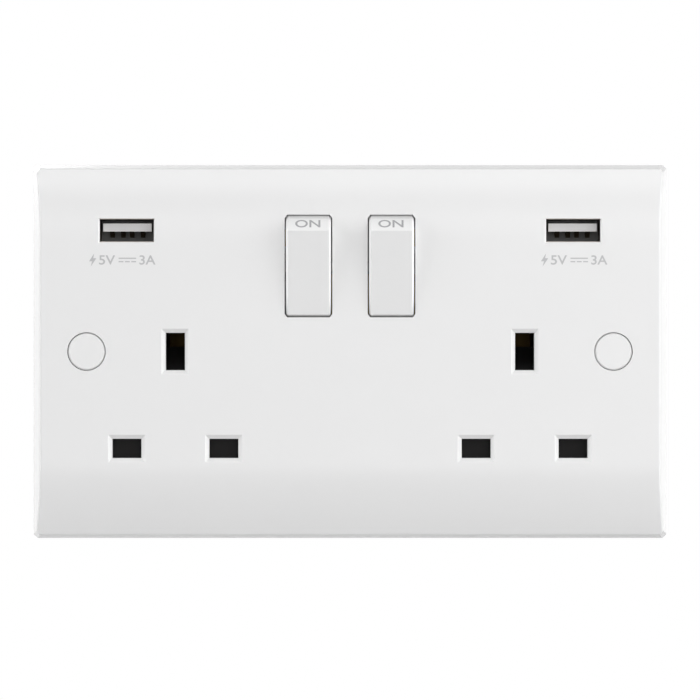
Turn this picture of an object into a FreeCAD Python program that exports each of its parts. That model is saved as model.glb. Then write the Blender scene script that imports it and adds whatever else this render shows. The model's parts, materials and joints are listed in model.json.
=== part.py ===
import FreeCAD, Part
import math
import os
import re
import Sketcher

# Double switched wall socket with two charging ports.
# Millimetres. X runs to the right, Y into the wall and Z up.
# The origin is the centre of the plate's rear rim, in the plane of the wall.

Vector = FreeCAD.Vector
LEFT, RIGHT = -1, 1
SIDES = {"left": LEFT, "right": RIGHT}

# Driving dimensions
SIZES = {
    # front plate
    "plate_width": 146,
    "plate_height": 86,
    "plate_depth": 9,
    "side_draft": 2.0,
    "corner_bevel": 0.85,
    "edge_bevel": 0.4,
    "curve_run": 17,
    "curve_drop": 5.4,
    "face_wall": 2.5,
    "side_rim": 3.4,
    "end_rim": 2.6,
    # pin pattern of the flat three-pin outlet
    "socket_pitch": 80,
    "pin_pitch": 22.2,
    "pin_drop": 22.2,
    "live_slot_width": 6.65,
    "live_slot_height": 4.42,
    "earth_slot_width": 4.4,
    "earth_slot_height": 8.55,
    "slot_bevel": 0.95,
    "collar_margin": 1.6,
    "collar_depth": 1.2,
    # fixing screws and their caps
    "fixing_pitch": 120.6,
    "fixing_shank": 1.75,
    "fixing_neck": 1.4,
    "thread_lead": 0.05,
    "fixing_head": 3.2,
    "fixing_head_height": 2.3,
    "fixing_length": 25,
    "slot_width": 0.8,
    "cap_radius": 4.25,
    "cap_gap": 0.15,
    "cap_skirt": 0.7,
    "cap_top": 1.4,
    "cap_bevel": 0.35,
    "column_wall": 1.4,
    "column_floor": 2.0,
    "neck_gap": 0.35,
    # rockers
    "rocker_pitch": 19,
    "rocker_height": 19.4,
    "rocker_width": 10.3,
    "rocker_radius": 14.3,
    "rocker_face": 10.56,
    "rocker_wall": 1.3,
    "rocker_tilt": 7.5,
    "rim_angle": 66,
    "rim_bevel": 0.5,
    "window_bevel": 0.6,
    "window_side_gap": 0.3,
    "window_end_gap": 0.36,
    "trunnion_radius": 1.5,
    "trunnion_length": 1.6,
    "running_gap": 0.05,
    "bearing_wall": 2.0,
    "bearing_half": 3.2,
    "bearing_lip": 1.1,
    "hub_half": 2.4,
    "boss_half": 2.6,
    "boss_end": 3.4,
    "plunger_radius": 1.5,
    "plunger_gap": 0.1,
    "plunger_reach": 9.0,
    "plunger_length": 10.4,
    "nose_angle": 68,
    "plunger_spring_length": 5.5,
    # see-saw contact bars
    "seesaw_gap": 0.08,
    "seesaw_tilt": 10.5,
    "seesaw_width": 5.2,
    "seesaw_arm": 8.5,
    "seesaw_lip": 1.5,
    "rivet_arm": 7.2,
    "rivet_radius": 1.1,
    "rivet_height": 0.5,
    # shutters and their carriers
    "shutter_plate": 2.4,
    "shutter_travel": 5.6,
    "shutter_margin": 0.8,
    "ramp_width": 6.0,
    "ramp_back": 1.2,
    "ramp_start": 4.5,
    "spring_y": -0.3,
    "spring_seat": 7.3,
    "shutter_spring_length": 12,
    "shutter_spring_radius": 2.05,
    "carrier_floor": 1.4,
    "carrier_wall": 1.1,
    "carrier_top": 7.2,
    "slide_gap": 0.3,
    "ledge": 1.7,
    # rear base
    "base_width": 120,
    "base_height": 69,
    "base_depth": 22,
    "base_front": 3.0,
    "base_wall": 1.8,
    "base_floor": 2.0,
    "lug_inset": 7.5,
    "lug_half": 8.5,
    "base_round": 3.0,
    "rib": 1.2,
    "pad_inset": 0.5,
    "seat_gap": 0.3,
    "fit_gap": 0.2,
    "clear_gap": 0.2,
    "post_offset": 3.9,
    "post_height": 2.4,
    "boss_screw_x": 30,
    "boss_screw_high": 6,
    "screw_post": 2.8,
    "screw_shank": 1.45,
    "screw_head": 2.7,
    "screw_head_height": 1.7,
    "joint_plane": 4.0,
    "screw_reach": 3.0,
    # brass
    "leaf_sheet": 0.6,
    "bar_sheet": 0.8,
    "leaf_width": 7.0,
    "leaf_gap": 4.2,
    "leaf_lip": 0.7,
    "leaf_front": 0.9,
    "earth_leaf_height": 9.0,
    "earth_leaf_front": 2.8,
    "arm_level": 12.1,
    "neutral_level": 14.0,
    "earth_level": 16.8,
    "neutral_bar_height": 3.2,
    "bar_end": 0.2,
    "earth_bar_height": 5.0,
    "arm_width": 4.0,
    "arm_inner": 21.6,
    "arm_reach": 6.5,
    "arm_crossing": 15,
    "arm_switch": 26.5,
    "earth_leg": 3.5,
    "live_plate_level": 12.6,
    "live_strip_outer": 16,
    "live_bend": 5.2,
    "ridge_half": 1.2,
    "ridge_gap": 0.14,
    "plate_margin": 1.5,
    # terminals
    "terminal_pitch": 10,
    "terminal_width": 8.6,
    "tab_half": 3.8,
    "terminal_front": 6.0,
    "terminal_low": 31.4,
    "terminal_high": 23.4,
    "cable_radius": 2.6,
    "clamp_radius": 1.75,
    "clamp_slot_depth": 0.8,
    "clamp_hole": 2.1,
    "tip_gap": 0.1,
    "cable_notch": 7.2,
    "well_height": 5.4,
    # charging ports
    "port_x": 51.1,
    "port_z": 27.75,
    "port_width": 12.4,
    "port_height": 5.4,
    "port_bevel": 0.35,
    "port_lip": 0.9,
    "can_width": 12.5,
    "can_height": 5.12,
    "can_sheet": 0.3,
    "can_gap": 0.1,
    "contact_inner": 1.0,
    "contact_outer": 3.5,
    "contact_width": 1.0,
    "contact_set_back": 0.5,
    "contact_sheet": 0.25,
    "tongue_width": 11.1,
    "tongue_height": 1.84,
    "tongue_rise": 0.72,
    "tongue_set_back": 2.6,
    "throat": 9.2,
    "board_front": 6.0,
    "board_thickness": 1.2,
    "board_edge": 57.9,
    "board_inner": 27.5,
    "board_low": 10.8,
    "board_high": 31.4,
    "board_post": 2.0,
    "core_width": 13,
    "core_height": 12,
    "core_depth": 9.6,
    "core_leg": 2.4,
    "core_middle": 3.4,
    "core_margin": 1.8,
    "core_lift": 1.2,
    "coil_gap": 0.1,
    "capacitor_radius": 3.9,
    "capacitor_place": 8.2,
    "capacitor_length": 11,
    "chip_width": 4.0,
    "chip_height": 3.2,
    "chip_thickness": 1.5,
}

doc = FreeCAD.newDocument("wall_socket")
sheet = doc.addObject("Spreadsheet::Sheet", "Sizes")
for row, (alias, size) in enumerate(SIZES.items(), start=1):
    sheet.set(f"A{row}", alias)
    sheet.set(f"B{row}", str(size))
    sheet.setAlias(f"B{row}", alias)
doc.recompute()


def bound(text):
    """The expression with each driving dimension named in full."""
    return re.sub(r"[a-z][a-z0-9_]*", lambda m: f"Sizes.{m.group()}" if m.group() in SIZES else m.group(), text)


def number(text):
    """What an expression comes to now."""
    return float(sheet.evalExpression(bound(text)))


def bind(thing, prop, text):
    thing.setExpression(prop, bound(text))


# Sizes worked out from the driving dimensions, as expressions
FACE_IN = "(face_wall - plate_depth)"
CURVE_RADIUS = "((curve_run * curve_run + curve_drop * curve_drop) / (2 * curve_drop))"
CURVE_Y = f"({CURVE_RADIUS} - plate_depth)"
FLAT_HALF = "(plate_height / 2 - curve_run)"
COLLAR_BACK = f"({FACE_IN} + collar_depth)"
WINDOW_WIDTH = "(rocker_width + 2 * window_side_gap)"
WINDOW_RADIUS = "(rocker_radius + window_end_gap)"
RIDGE_HALF = "sqrt(rocker_radius * rocker_radius - rocker_face * rocker_face)"
PLUNGER_BORE = "(plunger_radius + plunger_gap)"
PLUNGER_BACK = "(plunger_reach - plunger_length)"
FULCRUM_Y = "(plunger_reach + seesaw_gap + bar_sheet)"
WING_HIGH = "(pin_drop - live_slot_height / 2 - shutter_margin * 0.75)"
WING_LOW = "(pin_drop + live_slot_height / 2 + shutter_margin)"
WING_HALF = "(pin_pitch / 2 + live_slot_width / 2 + shutter_margin)"
SHUTTER_FRONT = f"({COLLAR_BACK} + slide_gap)"
CARRIER_Y = f"({SHUTTER_FRONT} + shutter_plate + slide_gap)"
CARRIER_BACK = f"({CARRIER_Y} + carrier_floor)"
FLOOR_IN = "(base_depth - base_floor)"
BASE_HALF_X = "(base_width / 2)"
BASE_HALF_Z = "(base_height / 2)"
TERMINAL_Z = "(-(terminal_low + terminal_high) / 2)"
CABLE_Y = "((terminal_front + neutral_level) / 2)"
CAP_SEAT = "(-column_floor)"
NEUTRAL_BAR_LOW = "(seat_gap - terminal_high)"


def socket_x(side):
    return f"({side} * socket_pitch / 2)"


def neutral_x(side):
    return f"({socket_x(side)} - pin_pitch / 2)"


def live_x(side):
    return f"({socket_x(side)} + pin_pitch / 2)"


def rocker_x(side):
    return f"({side} * rocker_pitch / 2)"


def port_x(side):
    return f"({side} * port_x)"


# Sketching and features
def rectangle(x0, x1, y0, y1):
    """The corners of a rectangle between two pairs of expressions."""
    return [(x0, y0), (x1, y0), (x1, y1), (x0, y1)]


def block(x, y, width, height):
    """The corners of a rectangle about a centre."""
    across, up = f"({width}) / 2", f"({height}) / 2"
    return rectangle(f"{x} - {across}", f"{x} + {across}", f"{y} - {up}", f"{y} + {up}")


def circle(x, y, radius):
    return ("circle", x, y, radius)


def arc(x, y, radius, turn):
    """An arc between the points beside it in an outline: turn is 1 anticlockwise, -1 clockwise."""
    return ("arc", x, y, radius, turn)


def hold(sketch, kind, geometry, point, text):
    index = sketch.addConstraint(Sketcher.Constraint(kind, -1, 1, geometry, point, number(text)))
    bind(sketch, f"Constraints[{index}]", text)


def draw_circle(sketch, x, y, radius):
    centre = Vector(number(x), number(y), 0)
    geometry = sketch.addGeometry(Part.Circle(centre, Vector(0, 0, 1), number(radius)), False)
    hold(sketch, "DistanceX", geometry, 3, x)
    hold(sketch, "DistanceY", geometry, 3, y)
    index = sketch.addConstraint(Sketcher.Constraint("Radius", geometry, number(radius)))
    bind(sketch, f"Constraints[{index}]", radius)


def draw_outline(sketch, outline):
    """A closed outline of lines and arcs. A corner beside an arc names the coordinates it holds."""
    corners = [item for item in outline if item[0] != "arc"]
    places = [Vector(number(item[0]), number(item[1]), 0) for item in corners]
    bends = {}
    for index, item in enumerate(outline):
        if item[0] == "arc":
            bends[sum(1 for before in outline[:index] if before[0] != "arc") - 1] = item
    ends = []
    for index, start in enumerate(places):
        finish = places[(index + 1) % len(places)]
        if index not in bends:
            geometry = sketch.addGeometry(Part.LineSegment(start, finish), False)
            ends.append((geometry, 1, 2))
            continue
        _, x, y, radius, turn = bends[index]
        centre = Vector(number(x), number(y), 0)
        first, last = (start, finish) if turn > 0 else (finish, start)
        first_angle = math.atan2(first.y - centre.y, first.x - centre.x)
        last_angle = math.atan2(last.y - centre.y, last.x - centre.x)
        round_line = Part.Circle(centre, Vector(0, 0, 1), number(radius))
        geometry = sketch.addGeometry(Part.ArcOfCircle(round_line, first_angle, last_angle), False)
        hold(sketch, "DistanceX", geometry, 3, x)
        hold(sketch, "DistanceY", geometry, 3, y)
        size = sketch.addConstraint(Sketcher.Constraint("Radius", geometry, number(radius)))
        bind(sketch, f"Constraints[{size}]", radius)
        ends.append((geometry, 1, 2) if turn > 0 else (geometry, 2, 1))
    for index, (geometry, start, finish) in enumerate(ends):
        following, following_start, _ = ends[(index + 1) % len(ends)]
        sketch.addConstraint(Sketcher.Constraint("Coincident", geometry, finish, following, following_start))
        held = corners[index][2] if len(corners[index]) > 2 else "xy"
        if "x" in held:
            hold(sketch, "DistanceX", geometry, start, corners[index][0])
        if "y" in held:
            hold(sketch, "DistanceY", geometry, start, corners[index][1])


def sketch_on(body, role, outlines, offset="0"):
    """A sketch on one of the body's planes, moved along the plane's normal by an offset."""
    sketch = body.newObject("Sketcher::SketchObject", f"{body.Label}_sketch")
    plane = next(feature for feature in body.Origin.OriginFeatures if feature.Role == role)
    sketch.AttachmentSupport = (plane, [""])
    sketch.MapMode = "FlatFace"
    bind(sketch, "AttachmentOffset.Base.z", offset)
    for outline in outlines:
        if outline[0] == "circle":
            draw_circle(sketch, *outline[1:])
        else:
            draw_outline(sketch, outline)
    return sketch


def feature(body, kind, sketch, length, symmetric=False, backwards=False):
    """A pad or pocket, checked to have changed the body."""
    before = body.Shape.Volume if body.Tip else 0.0
    made = body.newObject(f"PartDesign::{kind}", f"{body.Label}_{kind.lower()}")
    made.Profile = sketch
    bind(made, "Length", length)
    made.SideType = "Symmetric" if symmetric else "One side"
    made.Reversed = backwards
    body.Tip = made
    doc.recompute()
    gained = body.Shape.Volume - before
    if gained * (1 if kind == "Pad" else -1) < 1e-6:
        raise ValueError(f"{made.Name} changed nothing")
    return made


def pad_y(body, outlines, start, stop, kind="Pad"):
    """Adds or cuts a section drawn in X and Z, from one depth to a deeper one."""
    sketch = sketch_on(body, "XZ_Plane", outlines, f"-({start})")
    return feature(body, kind, sketch, f"({stop}) - ({start})", backwards=kind == "Pad")


def pocket_y(body, outlines, start, stop):
    return pad_y(body, outlines, start, stop, "Pocket")


def pad_x(body, outlines, centre, width, kind="Pad"):
    """Adds or cuts a section drawn in Y and Z, equally to both sides of a place along X."""
    return feature(body, kind, sketch_on(body, "YZ_Plane", outlines, centre), width, symmetric=True)


def pad_z(body, outlines, centre, height, kind="Pad"):
    """Adds or cuts a section drawn in X and Y, equally above and below a height."""
    return feature(body, kind, sketch_on(body, "XY_Plane", outlines, centre), height, symmetric=True)


def new_body(label):
    body = doc.addObject("PartDesign::Body", label)
    body.Label = label
    return body


def revolve_y(body, outline):
    """Turns a half section, drawn in X and Y, about the Y axis."""
    sketch = sketch_on(body, "XY_Plane", [outline])
    turned = body.newObject("PartDesign::Revolution", f"{body.Label}_turned")
    turned.Profile = sketch
    turned.ReferenceAxis = (sketch, ["V_Axis"])
    turned.Angle = 360
    body.Tip = turned
    doc.recompute()


def dress(body, kind, size, test):
    """A fillet or chamfer on each edge that passes the test."""
    base = body.Tip
    names = [f"Edge{i}" for i, edge in enumerate(base.Shape.Edges, start=1) if test(edge)]
    made = body.newObject(f"PartDesign::{kind}", f"{body.Label}_{kind.lower()}")
    made.Base = (base, names)
    bind(made, "Radius" if kind == "Fillet" else "Size", size)
    body.Tip = made
    doc.recompute()
    return made


def box(label, x0, x1, y0, y1, z0, z1):
    """A box between three pairs of expressions."""
    made = doc.addObject("Part::Box", label)
    for prop, low, high in (("Length", x0, x1), ("Width", y0, y1), ("Height", z0, z1)):
        bind(made, prop, f"({high}) - ({low})")
    for axis, low in zip("xyz", (x0, y0, z0)):
        bind(made, f"Placement.Base.{axis}", low)
    return made


AXIS_TURN = {
    "x": FreeCAD.Rotation(Vector(0, 1, 0), 90),
    "y": FreeCAD.Rotation(Vector(1, 0, 0), -90),
    "z": FreeCAD.Rotation(),
}


def rod(label, axis, x, y, z, radius, length):
    """A cylinder that starts at a place and runs along an axis."""
    made = doc.addObject("Part::Cylinder", label)
    made.Placement = FreeCAD.Placement(Vector(), AXIS_TURN[axis])
    bind(made, "Radius", radius)
    bind(made, "Height", length)
    for name, place in zip("xyz", (x, y, z)):
        bind(made, f"Placement.Base.{name}", place)
    return made


def joined(label, shapes):
    made = doc.addObject("Part::MultiFuse", label)
    made.Shapes = shapes
    made.Refine = True
    return made


def cut(label, base, tool):
    made = doc.addObject("Part::Cut", label)
    made.Base = base
    made.Tool = tool
    made.Refine = True
    return made


def place(thing, x, y, z, angle="0"):
    """Puts a piece at a point, turned about X."""
    thing.Placement = FreeCAD.Placement(Vector(), FreeCAD.Rotation(Vector(1, 0, 0), 1))
    for axis, text in zip("xyz", (x, y, z)):
        bind(thing, f"Placement.Base.{axis}", text)
    bind(thing, "Placement.Rotation.Angle", angle)


def edge_at_depth(edge, depth):
    """Whether an edge lies wholly at one depth."""
    spread = edge.optimalBoundingBox()
    return abs(spread.YMin - depth) < 1e-3 and abs(spread.YMax - depth) < 1e-3


# Front plate
def slot_outlines(margin="0"):
    """The six pin slots, each larger all round by a margin."""
    outlines = []
    for side in (LEFT, RIGHT):
        outlines.append(block(socket_x(side), "0", f"(earth_slot_width + 2 * {margin})",
                              f"(earth_slot_height + 2 * {margin})"))
        for x in (neutral_x(side), live_x(side)):
            outlines.append(block(x, "-pin_drop", f"(live_slot_width + 2 * {margin})",
                                  f"(live_slot_height + 2 * {margin})"))
    return outlines


def screw_places():
    """Where the two screws hold the base to the plate."""
    return [("-boss_screw_x", "boss_screw_high"), ("boss_screw_x", "boss_screw_high")]


def screw_posts():
    return [block(x, z, "2 * screw_post", "2 * screw_post") for x, z in screw_places()]


def at_fixings(radius):
    return [circle(f"{side} * fixing_pitch / 2", "0", radius) for side in (LEFT, RIGHT)]


def curve_above(up):
    """The outline in front of the curve that runs back to one long edge, up being 1 or -1."""
    tangent = f"({up} * {FLAT_HALF})"
    edge = f"{up} * plate_height / 2"
    past = f"{up} * (plate_height / 2 + 2)"
    return [
        ("-plate_depth", tangent, "y"), arc(CURVE_Y, tangent, CURVE_RADIUS, -up),
        ("curve_drop - plate_depth", edge, "y"), ("curve_drop - plate_depth", past),
        ("-plate_depth - 2", past), ("-plate_depth - 2", tangent),
    ]


def front_rim_edge(edge):
    """An edge where the face meets the side or end walls."""
    middle = edge.valueAt((edge.FirstParameter + edge.LastParameter) / 2)
    side = abs(middle.x) > number("plate_width / 2 - side_draft - 0.6")
    end = abs(middle.z) > number("plate_height / 2 - side_draft")
    return middle.y < number("curve_drop - plate_depth + 0.3") and (side or end)


def front_slot_edge(edge):
    """An edge of a pin slot on the flat of the face."""
    spread = edge.BoundBox
    inside = abs(edge.CenterOfMass.z) < number(FLAT_HALF) - 0.2 and spread.XLength < 10
    return inside and spread.ZLength < 10 and edge_at_depth(edge, -number("plate_depth"))


def front_port_edge(edge):
    """An edge of a charging port's opening on the face."""
    centre = edge.CenterOfMass
    across = abs(abs(centre.x) - number("port_x")) <= number("port_width / 2 + 0.01")
    upright = abs(centre.z - number("port_z")) <= number("port_height / 2 + 0.01")
    return across and upright and edge.BoundBox.YMax < number("port_lip / 3 - plate_depth")


def window_corner(edge):
    """A curved corner of a rocker window, through the face."""
    spread = edge.BoundBox
    side = abs(abs(abs(spread.Center.x) - number("rocker_pitch / 2")) - number(f"{WINDOW_WIDTH} / 2")) < 1e-3
    curved = isinstance(edge.Curve, Part.Circle) and abs(edge.Curve.Radius - number(WINDOW_RADIUS)) < 1e-3
    return side and curved and spread.XLength < 1e-3


def plate_blank(label):
    """A block the size of the plate, its walls leaning in towards the face."""
    body = new_body(label)
    rim = sketch_on(body, "XZ_Plane", [block("0", "0", "plate_width", "plate_height")])
    blank = feature(body, "Pad", rim, "plate_depth")
    bind(blank, "TaperAngle", "-atan(side_draft / plate_depth)")
    doc.recompute()
    return body


def bevel_plate_corners(body):
    """Keeps what lies in a blank whose four upright corners are bevelled."""
    bevelled = plate_blank("front_plate_corners")
    dress(bevelled, "Chamfer", "corner_bevel", lambda edge: edge.BoundBox.YLength > 1)
    common = body.newObject("PartDesign::Boolean", "front_plate_common")
    common.Type = "Common"
    common.setObjects([bevelled])
    body.Tip = common
    doc.recompute()


def make_front_plate():
    body = plate_blank("front_plate")
    pad_x(body, [curve_above(1), curve_above(-1)], "0", "plate_width + 4", "Pocket")
    dress(body, "Chamfer", "edge_bevel", front_rim_edge)
    bevel_plate_corners(body)
    in_radius = f"({CURVE_RADIUS} - face_wall)"
    in_end = "(plate_height / 2 - end_rim)"
    in_run = f"({in_end} - {FLAT_HALF})"
    in_end_y = f"({CURVE_Y} - sqrt({in_radius} * {in_radius} - {in_run} * {in_run}))"
    hollow = [
        ("1", f"-{in_end}"), ("1", in_end), (in_end_y, in_end, "y"),
        arc(CURVE_Y, FLAT_HALF, in_radius, 1), (FACE_IN, FLAT_HALF, "y"),
        (FACE_IN, f"-{FLAT_HALF}", "y"), arc(CURVE_Y, f"-{FLAT_HALF}", in_radius, 1),
        (in_end_y, f"-{in_end}", "y"),
    ]
    pad_x(body, [hollow], "0", "plate_width - 2 * side_rim", "Pocket")
    add_plate_inside(body)
    cut_plate_openings(body)
    return body


def add_plate_inside(body):
    """Collars behind the slots, screw columns, rocker bearings and screw bosses."""
    pad_y(body, slot_outlines("collar_margin"), FACE_IN, COLLAR_BACK)
    pad_y(body, at_fixings("(cap_radius + cap_gap + column_wall)"), FACE_IN, "0")
    low, high = "rocker_height - bearing_half", "rocker_height + bearing_half"
    outer = f"(rocker_pitch / 2 + {WINDOW_WIDTH} / 2)"
    inner = f"(rocker_pitch / 2 - {WINDOW_WIDTH} / 2)"
    bearings = [
        rectangle(f"-{outer} - bearing_wall", f"-{outer}", low, high),
        rectangle(f"-{inner}", inner, low, high),
        rectangle(outer, f"{outer} + bearing_wall", low, high),
    ]
    pad_y(body, bearings, FACE_IN, "trunnion_radius + bearing_lip")
    pad_y(body, screw_posts(), FACE_IN, "joint_plane")
    span = "rocker_pitch + rocker_width + 4 * bearing_wall"
    bore = "(trunnion_radius + running_gap)"
    seat_top, seat_low = f"rocker_height + {bore}", f"rocker_height - {bore}"
    open_end = "trunnion_radius + bearing_lip + 1"
    pad_x(body, [[
        ("0", seat_top, "x"), arc("0", "rocker_height", bore, 1), ("0", seat_low, "x"),
        (open_end, seat_low), (open_end, seat_top),
    ]], "0", span, "Pocket")
    pilots = [circle(x, z, "(screw_shank + running_gap)") for x, z in screw_places()]
    pocket_y(body, pilots, "-screw_reach - 1", "joint_plane")


def cut_plate_openings(body):
    pocket_y(body, slot_outlines(), "-plate_depth - 1", COLLAR_BACK)
    dress(body, "Chamfer", "slot_bevel", front_slot_edge)
    ports = [block(port_x(side), "port_z", "port_width", "port_height") for side in (LEFT, RIGHT)]
    pocket_y(body, ports, "-plate_depth - 1", FACE_IN)
    dress(body, "Chamfer", "port_bevel", front_port_edge)
    room = "(2 * can_sheet + 2 * can_gap)"
    seats = [
        block(port_x(side), "port_z", f"can_width + {room}", f"can_height + {room}")
        for side in (LEFT, RIGHT)
    ]
    pocket_y(body, seats, "port_lip - plate_depth", f"{FACE_IN} + 1")
    for side in (LEFT, RIGHT):
        window = circle("0", "rocker_height", WINDOW_RADIUS)
        pad_x(body, [window], rocker_x(side), WINDOW_WIDTH, "Pocket")
    dress(body, "Chamfer", "window_bevel", window_corner)
    pocket_y(body, at_fixings("(cap_radius + cap_gap)"), "-plate_depth - 1", CAP_SEAT)
    pocket_y(body, at_fixings("(fixing_shank + neck_gap)"), f"{CAP_SEAT} - 1", "1")


# Screw caps and screws
def make_screw_caps():
    """A hollow cap over each fixing screw."""
    caps = []
    for name, side in SIDES.items():
        body = new_body(f"screw_cap_{name}")
        revolve_y(body, [
            ("0", "-plate_depth"), ("cap_radius - cap_bevel", "-plate_depth"),
            ("cap_radius", "cap_bevel - plate_depth"), ("cap_radius", CAP_SEAT),
            ("cap_radius - cap_skirt", CAP_SEAT), ("cap_radius - cap_skirt", "cap_top - plate_depth"),
            ("0", "cap_top - plate_depth"),
        ])
        place(body, f"{side} * fixing_pitch / 2", "0", "0")
        caps.append(body)
    return group("screw_caps", caps)


def make_fixing_screws():
    """Both screws that hold the plate to its wall box. The thread stands out behind the plate."""
    screws = []
    for name, side in SIDES.items():
        x = f"{side} * fixing_pitch / 2"
        head_front = f"({CAP_SEAT} - fixing_head_height)"
        head = rod(f"fixing_head_{name}", "y", x, head_front, "0", "fixing_head", "fixing_head_height")
        slot = box(f"fixing_slot_{name}", f"{x} - fixing_head", f"{x} + fixing_head", f"{head_front} - 1",
                   f"{head_front} + fixing_head_height / 2", "-slot_width / 2", "slot_width / 2")
        slotted = cut(f"fixing_slotted_{name}", head, slot)
        neck = rod(f"fixing_neck_{name}", "y", x, CAP_SEAT, "0", "fixing_neck", "column_floor")
        shank = rod(f"fixing_shank_{name}", "y", x, "-thread_lead", "0", "fixing_shank",
                    f"fixing_length + {CAP_SEAT} + thread_lead")
        screws.append(joined(f"fixing_screw_{name}", [slotted, neck, shank]))
    return group("fixing_screws", screws)


def make_base_screws():
    """The two screws that go in from behind, through the base and into the plate's bosses."""
    screws = []
    for index, (x, z) in enumerate(screw_places(), start=1):
        head_y = "(base_depth - screw_head_height)"
        head = rod(f"base_screw_head_{index}", "y", x, head_y, z, "screw_head", "screw_head_height")
        slot = box(f"base_screw_slot_{index}", f"{x} - screw_head", f"{x} + screw_head",
                   "base_depth - screw_head_height / 2", "base_depth + 1",
                   f"{z} - slot_width / 2", f"{z} + slot_width / 2")
        shank = rod(f"base_screw_shank_{index}", "y", x, "-screw_reach", z, "screw_shank",
                    f"{head_y} + screw_reach")
        screws.append(joined(f"base_screw_{index}", [cut(f"base_screw_slotted_{index}", head, slot), shank]))
    return group("base_screws", screws)


def group(label, pieces):
    """Like pieces kept together as one part, each still a solid of its own."""
    made = doc.addObject("Part::Compound", label)
    made.Links = pieces
    return made


# Rockers, plungers and their springs
def rocker_rim_edge(edge):
    """An edge of the rocker's sides, along the flat or round the drum."""
    spread = edge.BoundBox
    curved = isinstance(edge.Curve, Part.Circle) and abs(edge.Curve.Radius - number("rocker_radius")) < 1e-3
    at_side = abs(abs(spread.Center.x) - number("rocker_width / 2")) < 1e-3
    return at_side and (curved or edge_at_depth(edge, -number("rocker_face")))


def make_rocker(name, side):
    """A hollow slice of a drum about the X axis, with a flat face, two trunnions and a plunger boss."""
    body = new_body(f"rocker_{name}")
    end_y, end_z = "(-rocker_radius * cos(rim_angle))", "(rocker_radius * sin(rim_angle))"
    pad_x(body, [[
        ("-rocker_face", f"-{RIDGE_HALF}", "x"), ("-rocker_face", RIDGE_HALF, "x"),
        arc("0", "0", "rocker_radius", -1), (end_y, end_z, "y"),
        ("hub_half", "hub_half"), ("hub_half", "-hub_half"), (end_y, f"-{end_z}", "y"),
        arc("0", "0", "rocker_radius", -1),
    ]], "0", "rocker_width")
    dress(body, "Chamfer", "rim_bevel", rocker_rim_edge)
    inside = "(rocker_radius - rocker_wall)"
    back = "(rocker_wall - rocker_face)"
    inside_half = f"sqrt({inside} * {inside} - {back} * {back})"
    pad_x(body, [[
        (back, f"-{inside_half}", "x"), (back, inside_half, "x"), arc("0", "0", inside, -1),
        ("0", inside, "x"), ("hub_half + 2", inside), ("hub_half + 2", f"-{inside}"),
        ("0", f"-{inside}", "x"), arc("0", "0", inside, -1),
    ]], "0", "rocker_width - 2 * rocker_wall", "Pocket")
    pad_y(body, [block("0", "0", "2 * boss_half", "2 * boss_half")], back, "boss_end")
    pocket_y(body, [circle("0", "0", PLUNGER_BORE)], f"{PLUNGER_BACK} - plunger_spring_length", "boss_end")
    for end in (LEFT, RIGHT):
        reach = "(rocker_wall + trunnion_length)"
        centre = f"{end} * (rocker_width / 2 + trunnion_length - {reach} / 2)"
        pad_x(body, [circle("0", "0", "trunnion_radius")], centre, reach)
    seat_in_rocker(body, side)
    return body


def seat_in_rocker(thing, side):
    """Puts a piece on the rocker's pivot, turned to the switched-on position."""
    place(thing, rocker_x(side), "0", "rocker_height", "rocker_tilt")


def make_plunger(name, side):
    """A pin with a tapered nose that presses on the see-saw bar."""
    body = new_body(f"plunger_{name}")
    shoulder = "(plunger_reach - plunger_radius)"
    nose = f"({shoulder} + plunger_radius * sin(nose_angle))"
    revolve_y(body, [
        ("0", PLUNGER_BACK), ("plunger_radius", PLUNGER_BACK), ("plunger_radius", shoulder),
        ("plunger_radius * cos(nose_angle)", nose), ("0", nose),
    ])
    seat_in_rocker(body, side)
    return body


def make_plunger_spring(name, side):
    """The room that the coil takes up in the rocker's boss."""
    body = new_body(f"plunger_spring_{name}")
    front = f"({PLUNGER_BACK} - plunger_spring_length)"
    pad_y(body, [circle("0", "0", "plunger_radius")], front, PLUNGER_BACK)
    seat_in_rocker(body, side)
    return body


def make_seesaw(name, side):
    """A brass strip with turned-up ends and a contact rivet, rocking about X on its rear face."""
    body = new_body(f"seesaw_{name}")
    miter = "(bar_sheet * (sqrt(2) - 1))"
    slant = "(bar_sheet / sqrt(2))"
    tip_z = "(seesaw_arm + seesaw_lip)"
    pad_x(body, [[
        ("0", "-seesaw_arm"), ("0", "seesaw_arm"), ("-seesaw_lip", tip_z),
        (f"-seesaw_lip - {slant}", f"{tip_z} - {slant}"), ("-bar_sheet", f"seesaw_arm - {miter}"),
        ("-bar_sheet", f"{miter} - seesaw_arm"), (f"-seesaw_lip - {slant}", f"{slant} - {tip_z}"),
        ("-seesaw_lip", f"-{tip_z}"),
    ]], "0", "seesaw_width")
    pad_y(body, [circle("0", "rivet_arm", "rivet_radius")], "-bar_sheet / 2", "rivet_height")
    place(body, rocker_x(side), FULCRUM_Y, "rocker_height", "-seesaw_tilt")
    return body


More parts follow.
